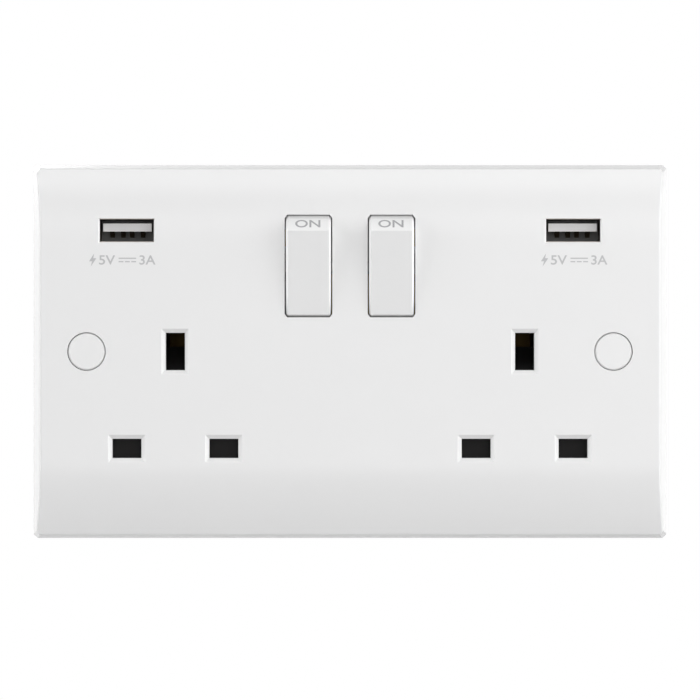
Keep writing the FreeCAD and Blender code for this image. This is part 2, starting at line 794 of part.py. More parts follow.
# Shutters, their springs and carriers
def make_shutter(name, side):
    """A T-shaped slide: wings over the two lower slots and a ramp in the path of the upper pin."""
    body = new_body(f"shutter_{name}")
    front, back = SHUTTER_FRONT, f"({SHUTTER_FRONT} + shutter_plate)"
    stem = "ramp_width / 2"
    pad_y(body, [[
        (f"-{WING_HALF}", f"-{WING_LOW}"), (WING_HALF, f"-{WING_LOW}"), (WING_HALF, f"-{WING_HIGH}"),
        (stem, f"-{WING_HIGH}"), (stem, "-ramp_start"), (f"-{stem}", "-ramp_start"),
        (f"-{stem}", f"-{WING_HIGH}"), (f"-{WING_HALF}", f"-{WING_HIGH}"),
    ]], front, back)
    top = "(shutter_travel - ramp_start)"
    crest = f"(shutter_travel + {front})"
    rear = f"({crest} + ramp_back)"
    pad_x(body, [[
        (front, "-spring_seat"), (front, "-ramp_start"), (crest, top),
        (rear, top), (rear, "-spring_seat"),
    ]], "0", "ramp_width")
    place(body, socket_x(side), "0", "0")
    return body


def make_shutter_spring(name, side):
    """The room that the return spring's coil takes up."""
    foot = "-spring_seat - shutter_spring_length"
    return rod(f"shutter_spring_{name}", "z", socket_x(side), "spring_y", foot,
               "shutter_spring_radius", "shutter_spring_length")


def make_carrier(name, side):
    """The tray behind the slots that guides the shutter."""
    body = new_body(f"shutter_carrier_{name}")
    stem = "(ramp_width / 2 + slide_gap)"
    low = f"(-{WING_LOW} - shutter_travel - slide_gap)"
    high = f"(slide_gap - {WING_HIGH})"
    half = f"({WING_HALF} + slide_gap)"

    def tee(grow, top):
        """The T of the shutter's room, larger by a wall, up to a height."""
        return [
            (f"-{half} - {grow}", f"{low} - {grow}"), (f"{half} + {grow}", f"{low} - {grow}"),
            (f"{half} + {grow}", f"{high} + {grow}"), (f"{stem} + {grow}", f"{high} + {grow}"),
            (f"{stem} + {grow}", top), (f"-{stem} - {grow}", top),
            (f"-{stem} - {grow}", f"{high} + {grow}"), (f"-{half} - {grow}", f"{high} + {grow}"),
        ]

    pad_y(body, [tee("carrier_wall", "carrier_top")], COLLAR_BACK, CARRIER_BACK)
    pocket_y(body, [tee("0", "(carrier_top - carrier_wall)")], f"{COLLAR_BACK} - 1", CARRIER_Y)
    spring_foot = "(-spring_seat - shutter_spring_length)"
    window = rectangle(f"-{stem}", stem, spring_foot, "earth_slot_height / 2 + slide_gap")
    holes = [
        block(f"{end} * pin_pitch / 2", "-pin_drop", "(live_slot_width + 2 * slide_gap)",
              "(live_slot_height + 2 * slide_gap)") for end in (LEFT, RIGHT)
    ]
    pocket_y(body, [window] + holes, f"{CARRIER_Y} - 1", f"{CARRIER_BACK} + 1")
    ledge = rectangle("-ramp_width / 2", "ramp_width / 2", f"{spring_foot} - ledge", spring_foot)
    pad_y(body, [ledge], CARRIER_Y, "spring_y + shutter_spring_radius + slide_gap")
    place(body, socket_x(side), "0", "0")
    return body


# Brass
def clip(centre, front, back, back_sheet, gap="leaf_gap"):
    """A U of two leaves with flared lips: depth first, then the way across the pin."""
    inner, outer = f"({gap} / 2)", f"({gap} / 2 + leaf_sheet)"
    rear = f"({back} + {back_sheet})"
    upper = [
        (front, f"{inner} + leaf_lip + leaf_sheet"), (f"{front} + leaf_lip * 2", outer), (rear, outer),
    ]
    lower = [(y, f"-({across})") for y, across in reversed(upper)]
    inside = [(front, f"{inner} + leaf_lip"), (f"{front} + leaf_lip * 2", inner), (back, inner)]
    inside_low = [(y, f"-({across})") for y, across in inside]
    ring = upper + lower + inside_low + list(reversed(inside))
    return [(y, f"{centre} + {across}") for y, across in ring]


def make_live_contact(name, side):
    """The clip for the live pin, with an arm that runs up to the switch."""
    body = new_body(f"live_contact_{name}")
    x = live_x(side)
    pad_x(body, [clip("-pin_drop", "leaf_front", "arm_level", "leaf_sheet")], x, "leaf_width")
    half = f"{side} * leaf_width / 2"
    tab = f"{side} * (arm_width - leaf_width / 2)"
    inner, outer = f"{side} * arm_inner", f"{side} * (arm_inner + arm_width)"
    clip_low = "-pin_drop - leaf_gap / 2 - leaf_sheet"
    clip_high = "-pin_drop + leaf_gap / 2 + leaf_sheet"
    switch_low, switch_high = "arm_switch - arm_width / 2", "arm_switch + arm_width / 2"
    pad_y(body, [[
        (f"{x} + {half}", clip_low), (f"{x} - {half}", clip_low), (f"{x} - {half}", "-arm_crossing"),
        (inner, "-arm_crossing"), (inner, switch_low), (f"{side} * arm_reach", switch_low),
        (f"{side} * arm_reach", switch_high), (outer, switch_high), (outer, "arm_width - arm_crossing"),
        (f"{x} + {tab}", "arm_width - arm_crossing"), (f"{x} + {tab}", clip_high), (f"{x} + {half}", clip_high),
    ]], "arm_level", "arm_level + leaf_sheet")
    return body


def make_neutral_busbar():
    """A bar across both outlets with a clip for each neutral pin and a tab on the terminal."""
    body = new_body("neutral_busbar")
    rear = "neutral_level + bar_sheet"
    half = "leaf_width / 2"
    bar = rectangle(f"{neutral_x(LEFT)} - {half}", f"{neutral_x(RIGHT)} + {half}",
                    NEUTRAL_BAR_LOW, f"{NEUTRAL_BAR_LOW} + neutral_bar_height")
    pad_y(body, [bar], "neutral_level", rear)
    for side in (LEFT, RIGHT):
        leaves = clip("-pin_drop", "leaf_front", "neutral_level", "bar_sheet")
        pad_x(body, [leaves], neutral_x(side), "leaf_width")
    x = terminal_x("neutral")
    tab = rectangle(f"{x} - tab_half", f"{x} + tab_half", "bar_end - terminal_low",
                    f"{NEUTRAL_BAR_LOW} + neutral_bar_height / 2")
    pad_y(body, [tab], "neutral_level", rear)
    pocket_y(body, [circle(x, TERMINAL_Z, "clamp_hole")], "neutral_level - 1", f"{rear} + 1")
    return body


def make_earth_busbar():
    """A bar between both earth clips, with a leg that steps forward onto the two earth terminals."""
    body = new_body("earth_busbar")
    rear = "earth_level + bar_sheet"
    bar_low, bar_high = "-earth_bar_height / 2", "earth_bar_height / 2"
    pad_y(body, [rectangle(socket_x(LEFT), socket_x(RIGHT), bar_low, bar_high)], "earth_level", rear)
    for side in (LEFT, RIGHT):
        turned = [(x, y) for y, x in clip(socket_x(side), "earth_leaf_front", "earth_level", "bar_sheet")]
        pad_z(body, [turned], "0", "earth_leaf_height")
    leg = rectangle("-earth_leg - earth_bar_height", "-earth_leg", "-terminal_high - bar_sheet", "0")
    pad_y(body, [leg], "earth_level", rear)
    half = "(terminal_pitch / 2 + tab_half)"
    step = rectangle(f"-{half}", half, "-terminal_high - bar_sheet", "-terminal_high")
    pad_y(body, [step], "neutral_level", rear)
    tab = rectangle(f"-{half}", half, "bar_end - terminal_low", "-terminal_high")
    pad_y(body, [tab], "neutral_level", "neutral_level + bar_sheet")
    holes = [circle(f"{side} * terminal_pitch / 2", TERMINAL_Z, "clamp_hole") for side in (LEFT, RIGHT)]
    pocket_y(body, holes, "neutral_level - 1", "neutral_level + bar_sheet + 0.5")
    return body


def make_live_busbar():
    """A strip from the live terminal up to a plate with a ridge under each see-saw bar."""
    body = new_body("live_busbar")
    x, half = terminal_x("live"), "tab_half"
    strip_front = "(terminal_front - bar_sheet)"
    inner, outer = f"{x} - {half}", "live_strip_outer"
    bend = "live_bend"
    pad_y(body, [[
        (inner, "bar_end - terminal_low"), (f"{x} + {half}", "bar_end - terminal_low"),
        (f"{x} + {half}", "-terminal_high"), (outer, "-terminal_high"), (outer, f"{bend} + bar_sheet"),
        (inner, f"{bend} + bar_sheet"),
    ]], strip_front, "terminal_front")
    plate_back = "live_plate_level + bar_sheet"
    pad_y(body, [rectangle(inner, outer, bend, f"{bend} + bar_sheet")], strip_front, plate_back)
    reach = "(rocker_pitch / 2 + seesaw_width / 2 + plate_margin)"
    plate = rectangle(f"-{reach}", outer, bend, "rocker_height + plate_margin")
    pad_y(body, [plate], "live_plate_level", plate_back)
    for side in (LEFT, RIGHT):
        root = "live_plate_level + bar_sheet / 2"
        ridge = [
            (root, "rocker_height - ridge_half"), (f"{FULCRUM_Y} + ridge_gap", "rocker_height"),
            (root, "rocker_height + ridge_half"),
        ]
        pad_x(body, [ridge], rocker_x(side), "seesaw_width + plate_margin")
    return body


# Terminals
TERMINALS = {"neutral": -1.5, "earth_left": -0.5, "earth_right": 0.5, "live": 1.5}


def terminal_x(name):
    return f"({TERMINALS[name]} * terminal_pitch)"


def make_terminal(name):
    """A brass block with a hole for the cable from below and one for the clamp screw from behind."""
    x = terminal_x(name)
    blank = box(f"terminal_blank_{name}", f"{x} - terminal_width / 2", f"{x} + terminal_width / 2",
                "terminal_front", "neutral_level", "-terminal_low", "-terminal_high")
    cable = rod(f"cable_bore_{name}", "z", x, CABLE_Y, "-terminal_low - 1", "cable_radius",
                "terminal_low - terminal_high + 2")
    clamp = rod(f"clamp_bore_{name}", "y", x, CABLE_Y, TERMINAL_Z, "clamp_radius + running_gap",
                f"neutral_level - {CABLE_Y} + 1")
    return cut(f"terminal_{name}", blank, joined(f"terminal_bores_{name}", [cable, clamp]))


def make_clamp_screw(name):
    """A headless slotted screw, backed off so that its tip is clear of the cable hole."""
    x = terminal_x(name)
    tip = f"({CABLE_Y} + cable_radius + tip_gap)"
    shank = rod(f"clamp_shank_{name}", "y", x, tip, TERMINAL_Z, "clamp_radius", f"base_depth - {tip}")
    slot = box(f"clamp_slot_{name}", f"{x} - clamp_radius - 1", f"{x} + clamp_radius + 1",
               "base_depth - clamp_slot_depth", "base_depth + 1",
               f"{TERMINAL_Z} - slot_width / 2", f"{TERMINAL_Z} + slot_width / 2")
    return cut(f"clamp_screw_{name}", shank, slot)


# Rear base
def base_outline(grow):
    """The outline of the tray, cut in at the wall box's lugs and larger by a wall."""
    x, z = f"({BASE_HALF_X} + {grow})", f"({BASE_HALF_Z} + {grow})"
    notch_x, notch_z = f"({BASE_HALF_X} - lug_inset + {grow})", f"(lug_half - {grow})"
    return [
        (f"-{x}", f"-{z}"), (x, f"-{z}"), (x, f"-{notch_z}"), (notch_x, f"-{notch_z}"),
        (notch_x, notch_z), (x, notch_z), (x, z), (f"-{x}", z),
        (f"-{x}", notch_z), (f"-{notch_x}", notch_z), (f"-{notch_x}", f"-{notch_z}"), (f"-{x}", f"-{notch_z}"),
    ]


def mirrored(outlines):
    """Rectangles for the right side and the same for the left."""
    return outlines + [[(f"-({x})", z) for x, z in outline] for outline in outlines]


def make_rear_base():
    body = new_body("rear_base")
    pad_y(body, [base_outline("0")], "-base_front", "base_depth")
    corner = "(base_width / 2 - lug_inset - 1)"
    dress(body, "Fillet", "base_round", lambda edge: outer_upright(edge, number(corner)))
    pocket_y(body, [base_outline("-base_wall")], "-base_front - 1", FLOOR_IN)
    add_contact_ribs(body)
    add_terminal_ribs(body)
    add_board_posts(body)
    pad_y(body, screw_posts(), "joint_plane", FLOOR_IN)
    cut_base_holes(body)
    return body


def outer_upright(edge, limit):
    """A long edge along Y at one of the four outer corners."""
    spread = edge.BoundBox
    beyond_lugs = abs(spread.Center.z) > number("lug_half + base_wall + 1")
    return spread.YLength > number("base_depth") and abs(spread.Center.x) > limit and beyond_lugs


def add_contact_ribs(body):
    """Ribs and posts either side of the clips, and pads under the bars."""
    lip = "(leaf_gap / 2 + leaf_lip + leaf_sheet + fit_gap)"
    ribs, pads = [], []
    for side in (LEFT, RIGHT):
        for up in (LEFT, RIGHT):
            centre = f"(-pin_drop + {up} * ({lip} + rib / 2))"
            ribs.append(block(neutral_x(side), centre, "leaf_width", "rib"))
            for end in (LEFT, RIGHT):
                x = f"({live_x(side)} + {end} * (leaf_width / 2 + fit_gap + rib / 2))"
                ribs.append(block(x, f"(-pin_drop + {up} * post_offset)", "rib", "post_height"))
        pads.append(block(neutral_x(side), "-pin_drop", "leaf_width / 2", "neutral_bar_height"))
    pad_y(body, ribs, f"{CARRIER_BACK} + seat_gap", FLOOR_IN)
    pad_y(body, pads, "neutral_level + bar_sheet + fit_gap", FLOOR_IN)
    earth = []
    for side in (LEFT, RIGHT):
        for up in (LEFT, RIGHT):
            centre = f"({up} * (earth_leaf_height / 2 + fit_gap + rib / 2))"
            earth.append(block(socket_x(side), centre, "leaf_gap + 2 * leaf_sheet + 2 * leaf_lip", "rib"))
    pad_y(body, earth, "earth_leaf_front + seat_gap", FLOOR_IN)
    bar_pads = [
        block(socket_x(side), "0", "leaf_gap", "earth_bar_height - 2 * pad_inset")
        for side in (LEFT, RIGHT)
    ]
    pad_y(body, bar_pads, "earth_level + bar_sheet + fit_gap", FLOOR_IN)
    half = "(seesaw_width / 2 - pad_inset)"
    under_live = mirrored([
        rectangle(f"rocker_pitch / 2 - {half}", f"rocker_pitch / 2 + {half}",
                  "live_bend + 2 * pad_inset", "rocker_height"),
    ])
    pad_y(body, under_live, "live_plate_level + bar_sheet + fit_gap", FLOOR_IN)
    square = "(arm_width - 2 * pad_inset)"
    under_arms = mirrored([
        block("rocker_pitch / 2", "arm_switch", f"2 * {half}", square),
        block("arm_inner + arm_width / 2", "arm_switch", square, square),
        block("arm_inner + arm_width / 2", "(arm_width / 2 - arm_crossing)", square, square),
    ])
    pad_y(body, under_arms, "arm_level + leaf_sheet + fit_gap", FLOOR_IN)


def add_terminal_ribs(body):
    """Walls between the terminals and a seat behind each block."""
    low, high = "base_wall / 2 - base_height / 2", "-terminal_high"
    between = "(terminal_pitch - terminal_width) / 2 - fit_gap"
    end = f"{terminal_x('live')} + terminal_width / 2 + fit_gap"
    walls = mirrored([
        rectangle(f"terminal_pitch - ({between})", f"terminal_pitch + {between}", low, high),
        rectangle(end, f"{end} + rib", low, high),
    ])
    pad_y(body, walls, "terminal_front - bar_sheet / 2", FLOOR_IN)
    for name in TERMINALS:
        x = terminal_x(name)
        seat = rectangle(f"{x} - tab_half", f"{x} + tab_half", low, "rib - terminal_low")
        tab = "0" if name == "live" else "bar_sheet"
        pad_y(body, [seat], f"neutral_level + {tab} + fit_gap", FLOOR_IN)


def add_board_posts(body):
    """Four posts under each charger board."""
    half = "(board_post / 2 + fit_gap)"
    places = [
        (x, z) for x in (f"board_edge - {half}", f"board_inner + {half}")
        for z in (f"board_low + {half}", f"board_high - {half}")
    ]
    posts = mirrored([block(f"({x})", f"({z})", "board_post", "board_post") for x, z in places])
    pad_y(body, posts, "board_front + board_thickness + fit_gap", FLOOR_IN)


def cut_base_holes(body):
    """Holes for the base screws, wells behind the terminals and notches for the cables."""
    pocket_y(body, [circle(x, z, "(screw_shank + clear_gap)") for x, z in screw_places()],
             "joint_plane - 1", "base_depth + 1")
    pocket_y(body, [circle(x, z, "(screw_head + clear_gap)") for x, z in screw_places()],
             "base_depth - screw_head_height", "base_depth + 1")
    width = "2 * (tab_half - pad_inset)"
    wells = [block(terminal_x(name), TERMINAL_Z, width, "well_height") for name in TERMINALS]
    pocket_y(body, wells, f"{FLOOR_IN} - 1", "base_depth + 1")
    notches = [block(terminal_x(name), CABLE_Y, "cable_notch", "cable_notch") for name in TERMINALS]
    pad_z(body, notches, "(base_wall - base_height) / 2", "base_wall + 0.2", "Pocket")


# Charging ports
CAN_FRONT = "(port_lip - plate_depth + can_gap)"
THROAT_Y = f"({CAN_FRONT} + throat)"
BOARD_BACK = "(board_front + board_thickness)"
CONTACT_PLACES = ["-contact_outer", "-contact_inner", "contact_inner", "contact_outer"]


def make_port_can(name, side):
    """The folded steel can round the port."""
    body = new_body(f"usb_can_{name}")
    x = port_x(side)
    skin = "2 * can_sheet"
    outline = block(x, "port_z", f"can_width + {skin}", f"can_height + {skin}")
    pad_y(body, [outline], CAN_FRONT, "board_front")
    bore = block(x, "port_z", "can_width", "can_height")
    pocket_y(body, [bore], f"{CAN_FRONT} - 1", "board_front + 1")
    return body


def make_port_insulator(name, side):
    """The moulding that closes the back of the can and carries the tongue."""
    body = new_body(f"usb_insulator_{name}")
    x = port_x(side)
    plug = block(x, "port_z", "can_width - 2 * can_gap", "can_height - 2 * can_gap")
    pad_y(body, [plug], THROAT_Y, "board_front")
    tongue = block(x, "(port_z + tongue_rise)", "tongue_width", "tongue_height")
    pad_y(body, [tongue], f"{CAN_FRONT} + tongue_set_back", THROAT_Y)
    return body


def make_port_contacts(name, side):
    """Four flat springs under the tongue."""
    low = "(port_z + tongue_rise - tongue_height / 2)"
    strips = []
    for index, offset in enumerate(CONTACT_PLACES, start=1):
        x = f"({port_x(side)} + {offset})"
        strips.append(box(f"usb_contact_{name}_{index}", f"{x} - contact_width / 2", f"{x} + contact_width / 2",
                          f"{CAN_FRONT} + tongue_set_back + contact_set_back", THROAT_Y,
                          f"{low} - contact_sheet", low))
    return group(f"usb_contacts_{name}", strips)


def make_board(name, side):
    low, high = ("board_inner", "board_edge") if side > 0 else ("-board_edge", "-board_inner")
    return box(f"usb_board_{name}", low, high, "board_front", BOARD_BACK, "board_low", "board_high")


def core_x(side):
    return f"({side} * (board_inner + core_margin + core_width / 2))"


CORE_Z = "((board_low + board_high) / 2)"
CORE_FRONT = f"({BOARD_BACK} + core_lift)"


def make_transformer_core(name, side):
    """A ferrite frame with a leg through the middle."""
    body = new_body(f"transformer_core_{name}")
    x = core_x(side)
    back = f"({CORE_FRONT} + core_depth)"
    pad_y(body, [block(x, CORE_Z, "core_width", "core_height / 2")], CORE_FRONT, back)
    inner = f"({x} - core_middle / 2)", f"({x} + core_middle / 2)"
    outer = f"({x} - core_width / 2 + core_leg)", f"({x} + core_width / 2 - core_leg)"
    low, high = f"({CORE_FRONT} + core_leg)", f"({back} - core_leg)"
    windows = [rectangle(outer[0], inner[0], low, high), rectangle(inner[1], outer[1], low, high)]
    pad_z(body, windows, CORE_Z, "core_height", "Pocket")
    return body


def make_transformer_coil(name, side):
    """The winding round the middle leg, on two rails that stand on the board."""
    body = new_body(f"transformer_coil_{name}")
    x = core_x(side)
    low = f"({CORE_FRONT} + core_leg + coil_gap)"
    high = f"({CORE_FRONT} + core_depth - core_leg - coil_gap)"
    width = "(core_width - 2 * core_leg - 2 * coil_gap)"
    pad_y(body, [block(x, CORE_Z, width, "core_height")], low, high)
    hole = block(x, CORE_Z, "core_middle + 2 * coil_gap", "core_height / 2 + 2 * coil_gap")
    pocket_y(body, [hole], f"{low} - 1", f"{high} + 1")
    rails = [
        block(x, f"({CORE_Z} + {up} * (core_height / 2 - rib / 2))", width, "rib") for up in (LEFT, RIGHT)
    ]
    pad_y(body, rails, BOARD_BACK, f"{low} + 1")
    return body


def make_capacitors():
    """An aluminium can behind each board."""
    made = []
    for name, side in SIDES.items():
        x, z = f"{side} * (board_edge - capacitor_place)", "(board_low + capacitor_place)"
        made.append(rod(f"capacitor_{name}", "y", x, BOARD_BACK, z, "capacitor_radius", "capacitor_length"))
    return group("usb_capacitors", made)


def make_chips(name, side):
    """Two small packages on the back of the board."""
    made = []
    places = {
        "switch": ("board_edge - 15.4", "board_low + 2.6"),
        "control": ("board_inner + 5.2", "board_low + 2.4"),
    }
    for kind, (x, z) in places.items():
        centre = f"({side} * ({x}))"
        made.append(box(f"chip_{kind}_{name}", f"{centre} - chip_width / 2", f"{centre} + chip_width / 2",
                        BOARD_BACK, f"{BOARD_BACK} + chip_thickness",
                        f"{z} - chip_height / 2", f"{z} + chip_height / 2"))
    return group(f"usb_chips_{name}", made)


def make_parts():
    parts = [make_front_plate(), make_rear_base(), make_fixing_screws(), make_base_screws()]
    parts += [make_neutral_busbar(), make_earth_busbar(), make_live_busbar()]
    parts += [make_screw_caps(), make_capacitors()]
    for name in TERMINALS:
        parts += [make_terminal(name), make_clamp_screw(name)]
    for name, side in SIDES.items():
        for make in PAIRED:
            parts.append(make(name, side))
    return parts


PAIRED = [
    make_rocker, make_plunger, make_plunger_spring, make_seesaw, make_live_contact,
    make_shutter, make_shutter_spring, make_carrier, make_port_can, make_port_insulator,
    make_port_contacts, make_board, make_transformer_core, make_transformer_coil, make_chips,
]


def check(parts):
    """Stops if anything failed to build."""
    for thing in doc.Objects:
        if {"Invalid", "Error"} & set(thing.State):
            raise ValueError(f"{thing.Name} failed: {thing.getStatusString()}")
    for part in parts:
        if part.Shape.isNull() or not part.Shape.isValid():
            raise ValueError(f"{part.Label} has no valid shape")


def save(parts):
    os.makedirs("parts", exist_ok=True)
    for part in parts:
        part.Shape.exportStep(f"parts/{part.Label}.step")


parts = make_parts()
doc.recompute()
check(parts)
save(parts)
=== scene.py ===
import json
import math

import bmesh
import bpy
import numpy as np
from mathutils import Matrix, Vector


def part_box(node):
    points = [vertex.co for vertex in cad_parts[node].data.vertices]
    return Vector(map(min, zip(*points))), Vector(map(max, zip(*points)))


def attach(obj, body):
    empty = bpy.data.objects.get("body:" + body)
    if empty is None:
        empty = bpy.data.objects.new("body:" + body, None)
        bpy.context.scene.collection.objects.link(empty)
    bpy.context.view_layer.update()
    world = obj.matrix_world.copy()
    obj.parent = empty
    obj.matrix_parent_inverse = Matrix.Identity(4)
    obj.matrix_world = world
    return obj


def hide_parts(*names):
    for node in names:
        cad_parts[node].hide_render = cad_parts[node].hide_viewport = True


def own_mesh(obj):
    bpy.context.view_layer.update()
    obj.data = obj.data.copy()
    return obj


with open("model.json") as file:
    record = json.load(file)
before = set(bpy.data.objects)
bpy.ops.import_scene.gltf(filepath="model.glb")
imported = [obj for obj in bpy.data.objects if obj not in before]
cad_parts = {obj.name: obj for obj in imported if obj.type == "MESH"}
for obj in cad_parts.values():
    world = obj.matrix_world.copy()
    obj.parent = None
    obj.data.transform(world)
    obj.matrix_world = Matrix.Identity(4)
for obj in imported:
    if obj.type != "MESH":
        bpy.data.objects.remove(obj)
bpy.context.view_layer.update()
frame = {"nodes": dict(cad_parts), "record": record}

MM = 0.001
SIDES = {"left": -1, "right": 1}

# Places and sizes that the dressed pieces share with the solids, in millimetres
ROCKER_PITCH = 19
ROCKER_HEIGHT = 19.4
ROCKER_RADIUS = 14.3
ROCKER_TILT = math.radians(7.5)
FACE_DEPTH = 9.0
FLAT_HALF = 26.0
CURVE_DROP, CURVE_RUN = 5.4, 17.0
CURVE_RADIUS = (CURVE_RUN ** 2 + CURVE_DROP ** 2) / (2 * CURVE_DROP)
RIM_X, RIM_Z = 70.0, 41.5
SOCKET_X = 40.0
EARTH_X = 40.1
PORT_X = 51.1
FIXING_X = 60.3
WINDOW_REACH = 16.0
WINDOW_LOW, WINDOW_HIGH = 7.4, 31.5

# Fixing screws: the thread, and the CAD shank that is drawn in under it
FIXING_THREAD = 1.75
THREAD_PITCH, THREAD_DEPTH = 0.6, 0.3
THREAD_START, THREAD_END = 0.1, 22.9
THREAD_STEPS, THREAD_AROUND = 8, 28
SHANK_START, SHANK_EDGE = -0.2, 1.65
SHANK_GAP = 0.02

# Coils
COIL_AROUND, COIL_STEPS = 10, 26
SHUTTER_COIL_Y = -0.3
SHUTTER_COIL_FOOT, SHUTTER_COIL_TOP = -19.3, -7.3
SHUTTER_COIL_RADIUS, SHUTTER_COIL_WIRE, SHUTTER_COIL_TURNS = 1.82, 0.22, 9.5
PLUNGER_COIL_FRONT, PLUNGER_COIL_BACK = 6.9, 1.4
PLUNGER_COIL_RADIUS, PLUNGER_COIL_WIRE, PLUNGER_COIL_TURNS = 1.27, 0.2, 6.5

# Contacts under the tongue of a port
CONTACT_PLACES = (-3.5, -1.0, 1.0, 3.5)
CONTACT_WIDTH, CONTACT_SHEET = 1.0, 0.25
BOW_LENGTH, BOW_DEPTH = 4.2, 1.1
BOW_STEPS = 17

# Printed marks: how thick the ink is and how far it is sunk, then the sizes of the marks
INK, INK_SINK = 0.012, 0.004
LETTER_EXTRUDE, LETTER_WEIGHT = 0.02, 0.012
LETTER_STEPS = 6
ON_TALL, ON_WIDE = 2.4, 5.75
ON_ANGLE = math.radians(51) - ROCKER_TILT
ON_SHIFT = -0.15
ON_CUTS = 9
MARK_HEIGHT = 20.95
MARK_SHIFT = 0.6
MARK_TALL, MARK_WIDE = 2.15, 3.7
MARK_SPREAD = {"bolt": -7.2, "volts": -3.9, "direct": 0.75, "amps": 5.35}
BOLT = ((0.35, 1.5), (-0.8, -0.3), (-0.12, -0.3), (-0.42, -1.5), (0.85, 0.4), (0.14, 0.4))
LINE_WIDE, DASH_WIDE, DASH_PITCH = 4.0, 1.1, 1.45
BAR_TALL, BAR_RISE = 0.28, 0.38

# Raised marks on the base's back; a bar of the earth sign is its place up, its width and its height
BACK_RISE, BACK_SINK = 0.25, 0.05
LETTER_RISE = 2.6
LETTER_TALL, LETTER_WIDE, LETTER_BOLD = 2.6, 2.1, 0.03
EARTH_SIGN = ((0.9, 0.35, 1.6), (0.1, 2.6, 0.35), (-0.55, 1.7, 0.35), (-1.2, 0.8, 0.35))

# Painted shade, where a recess is darker than its surroundings: its place, how far it reaches and the share
# that is left
WINDOW_EDGE = 0.1
WINDOW_DEPTH = (-9.6, -8.9)
WINDOW_SIDEWAYS = (-0.9, -0.6)
WINDOW_DARKNESS = (0.96, 0.5)
WINDOW_STRENGTH = {"face_white": 1.0, "rocker_white": 0.4}
WINDOW_DULL = 0.6
# Painted shade on the brass seen through the earth slots, darkest where an earth pin ends
SLOT_SHADE_PLACE = (EARTH_X, 8, 2)
SLOT_SHADE_REACH = (13, 17)
SLOT_SHADE_SHARE = 0.03
# Painted shade deep inside the ports
PORT_DEPTH = (-5.2, -3.5)
PORT_SHARE = 0.22

# Shading: angles in degrees, and how far two normals agree, as the cosine of the angle between them
SMOOTH_ANGLE, TUBE_ANGLE = 32, 50
MERGE_DISTANCE = 2e-6
ON_CURVE = 0.02
CURVE_AGREEMENT = math.cos(math.radians(9))
CURVE_SLANT = 0.05
BEVEL_AGREEMENT = (0.5, 0.97)

# Studio, in metres and watts
CAMERA_DISTANCE, CAMERA_RISE = 1.1, 0.00035
VIEW_WIDTH = 0.1615
SENSOR_WIDTH = 36
WORLD_LIGHT = 0.07
FLOOR_HALF, FLOOR_LEVEL = 1.5, -0.3
LAMPS = {
    "overhead_box": ((0.0, -0.55, 1.2), (1.6, 0.9), 7.2),
    "left_box": ((-1.1, -0.25, 0.15), (0.7, 1.4), 9.6),
    "right_box": ((1.1, -0.25, 0.15), (0.7, 1.4), 10.6),
    "front_box": ((0.3, -1.8, 0.35), (1.4, 1.0), 6.2),
    "near_box": ((0.5, -0.5, 0.25), (0.3, 0.3), 1.0),
    "back_box": ((-0.7, 1.3, 0.6), (1.2, 1.0), 12.0),
}

FLOAT, COLOR, VECTOR = "NodeSocketFloat", "NodeSocketColor", "NodeSocketVector"
GREY = (0.5, 0.5, 0.5, 1)


# Shader groups
def new_group(name, inputs, outputs):
    """An empty shader group with the named inputs and outputs."""
    group = bpy.data.node_groups.new(name, "ShaderNodeTree")
    for label, kind, value in inputs:
        socket = group.interface.new_socket(label, in_out="INPUT", socket_type=kind)
        socket.default_value = value
    for label, kind in outputs:
        group.interface.new_socket(label, in_out="OUTPUT", socket_type=kind)
    return group, group.nodes.new("NodeGroupInput"), group.nodes.new("NodeGroupOutput")


def add(tree, kind, **settings):
    """A node with its properties and plain socket values set by name."""
    node = tree.nodes.new(kind)
    for name, value in settings.items():
        label = name.replace("_", " ")
        if label in node.inputs:
            node.inputs[label].default_value = value
        else:
            setattr(node, name, value)
    return node


def add_group(tree, group, settings):
    """A node that holds a group, with its inputs set by name."""
    node = tree.nodes.new("ShaderNodeGroup")
    node.node_tree = group
    for label, value in settings.items():
        node.inputs[label].default_value = value
    return node


def object_place(tree):
    """Where a point lies on its piece."""
    return add(tree, "ShaderNodeTexCoord").outputs["Object"]


def noise(tree, place, **settings):
    """Noise over the piece."""
    node = add(tree, "ShaderNodeTexNoise", **settings)
    tree.links.new(place, node.inputs["Vector"])
    return node


def ramp(tree, socket, start, finish, low=0.0, high=1.0):
    """A share that runs from low to high while the socket's value runs from start to finish."""
    node = add(tree, "ShaderNodeMapRange", clamp=True,
               From_Min=start, From_Max=finish, To_Min=low, To_Max=high)
    tree.links.new(socket, node.inputs["Value"])
    return node.outputs["Result"]


def product(tree, first, second):
    """The product of two values."""
    node = add(tree, "ShaderNodeMath", operation="MULTIPLY")
    tree.links.new(first, node.inputs[0])
    tree.links.new(second, node.inputs[1])
    return node.outputs[0]


def new_skin(name):
    """A group with the inputs and outputs that every skin has."""
    return new_group(
        name,
        [("Color", COLOR, GREY), ("Shade", COLOR, GREY), ("Gloss", FLOAT, 0.3),
         ("Unevenness", FLOAT, 0.1), ("Grain Size", FLOAT, 2000.0), ("Grain Height", FLOAT, 0.05)],
        [("Color", COLOR), ("Roughness", FLOAT), ("Normal", VECTOR)],
    )


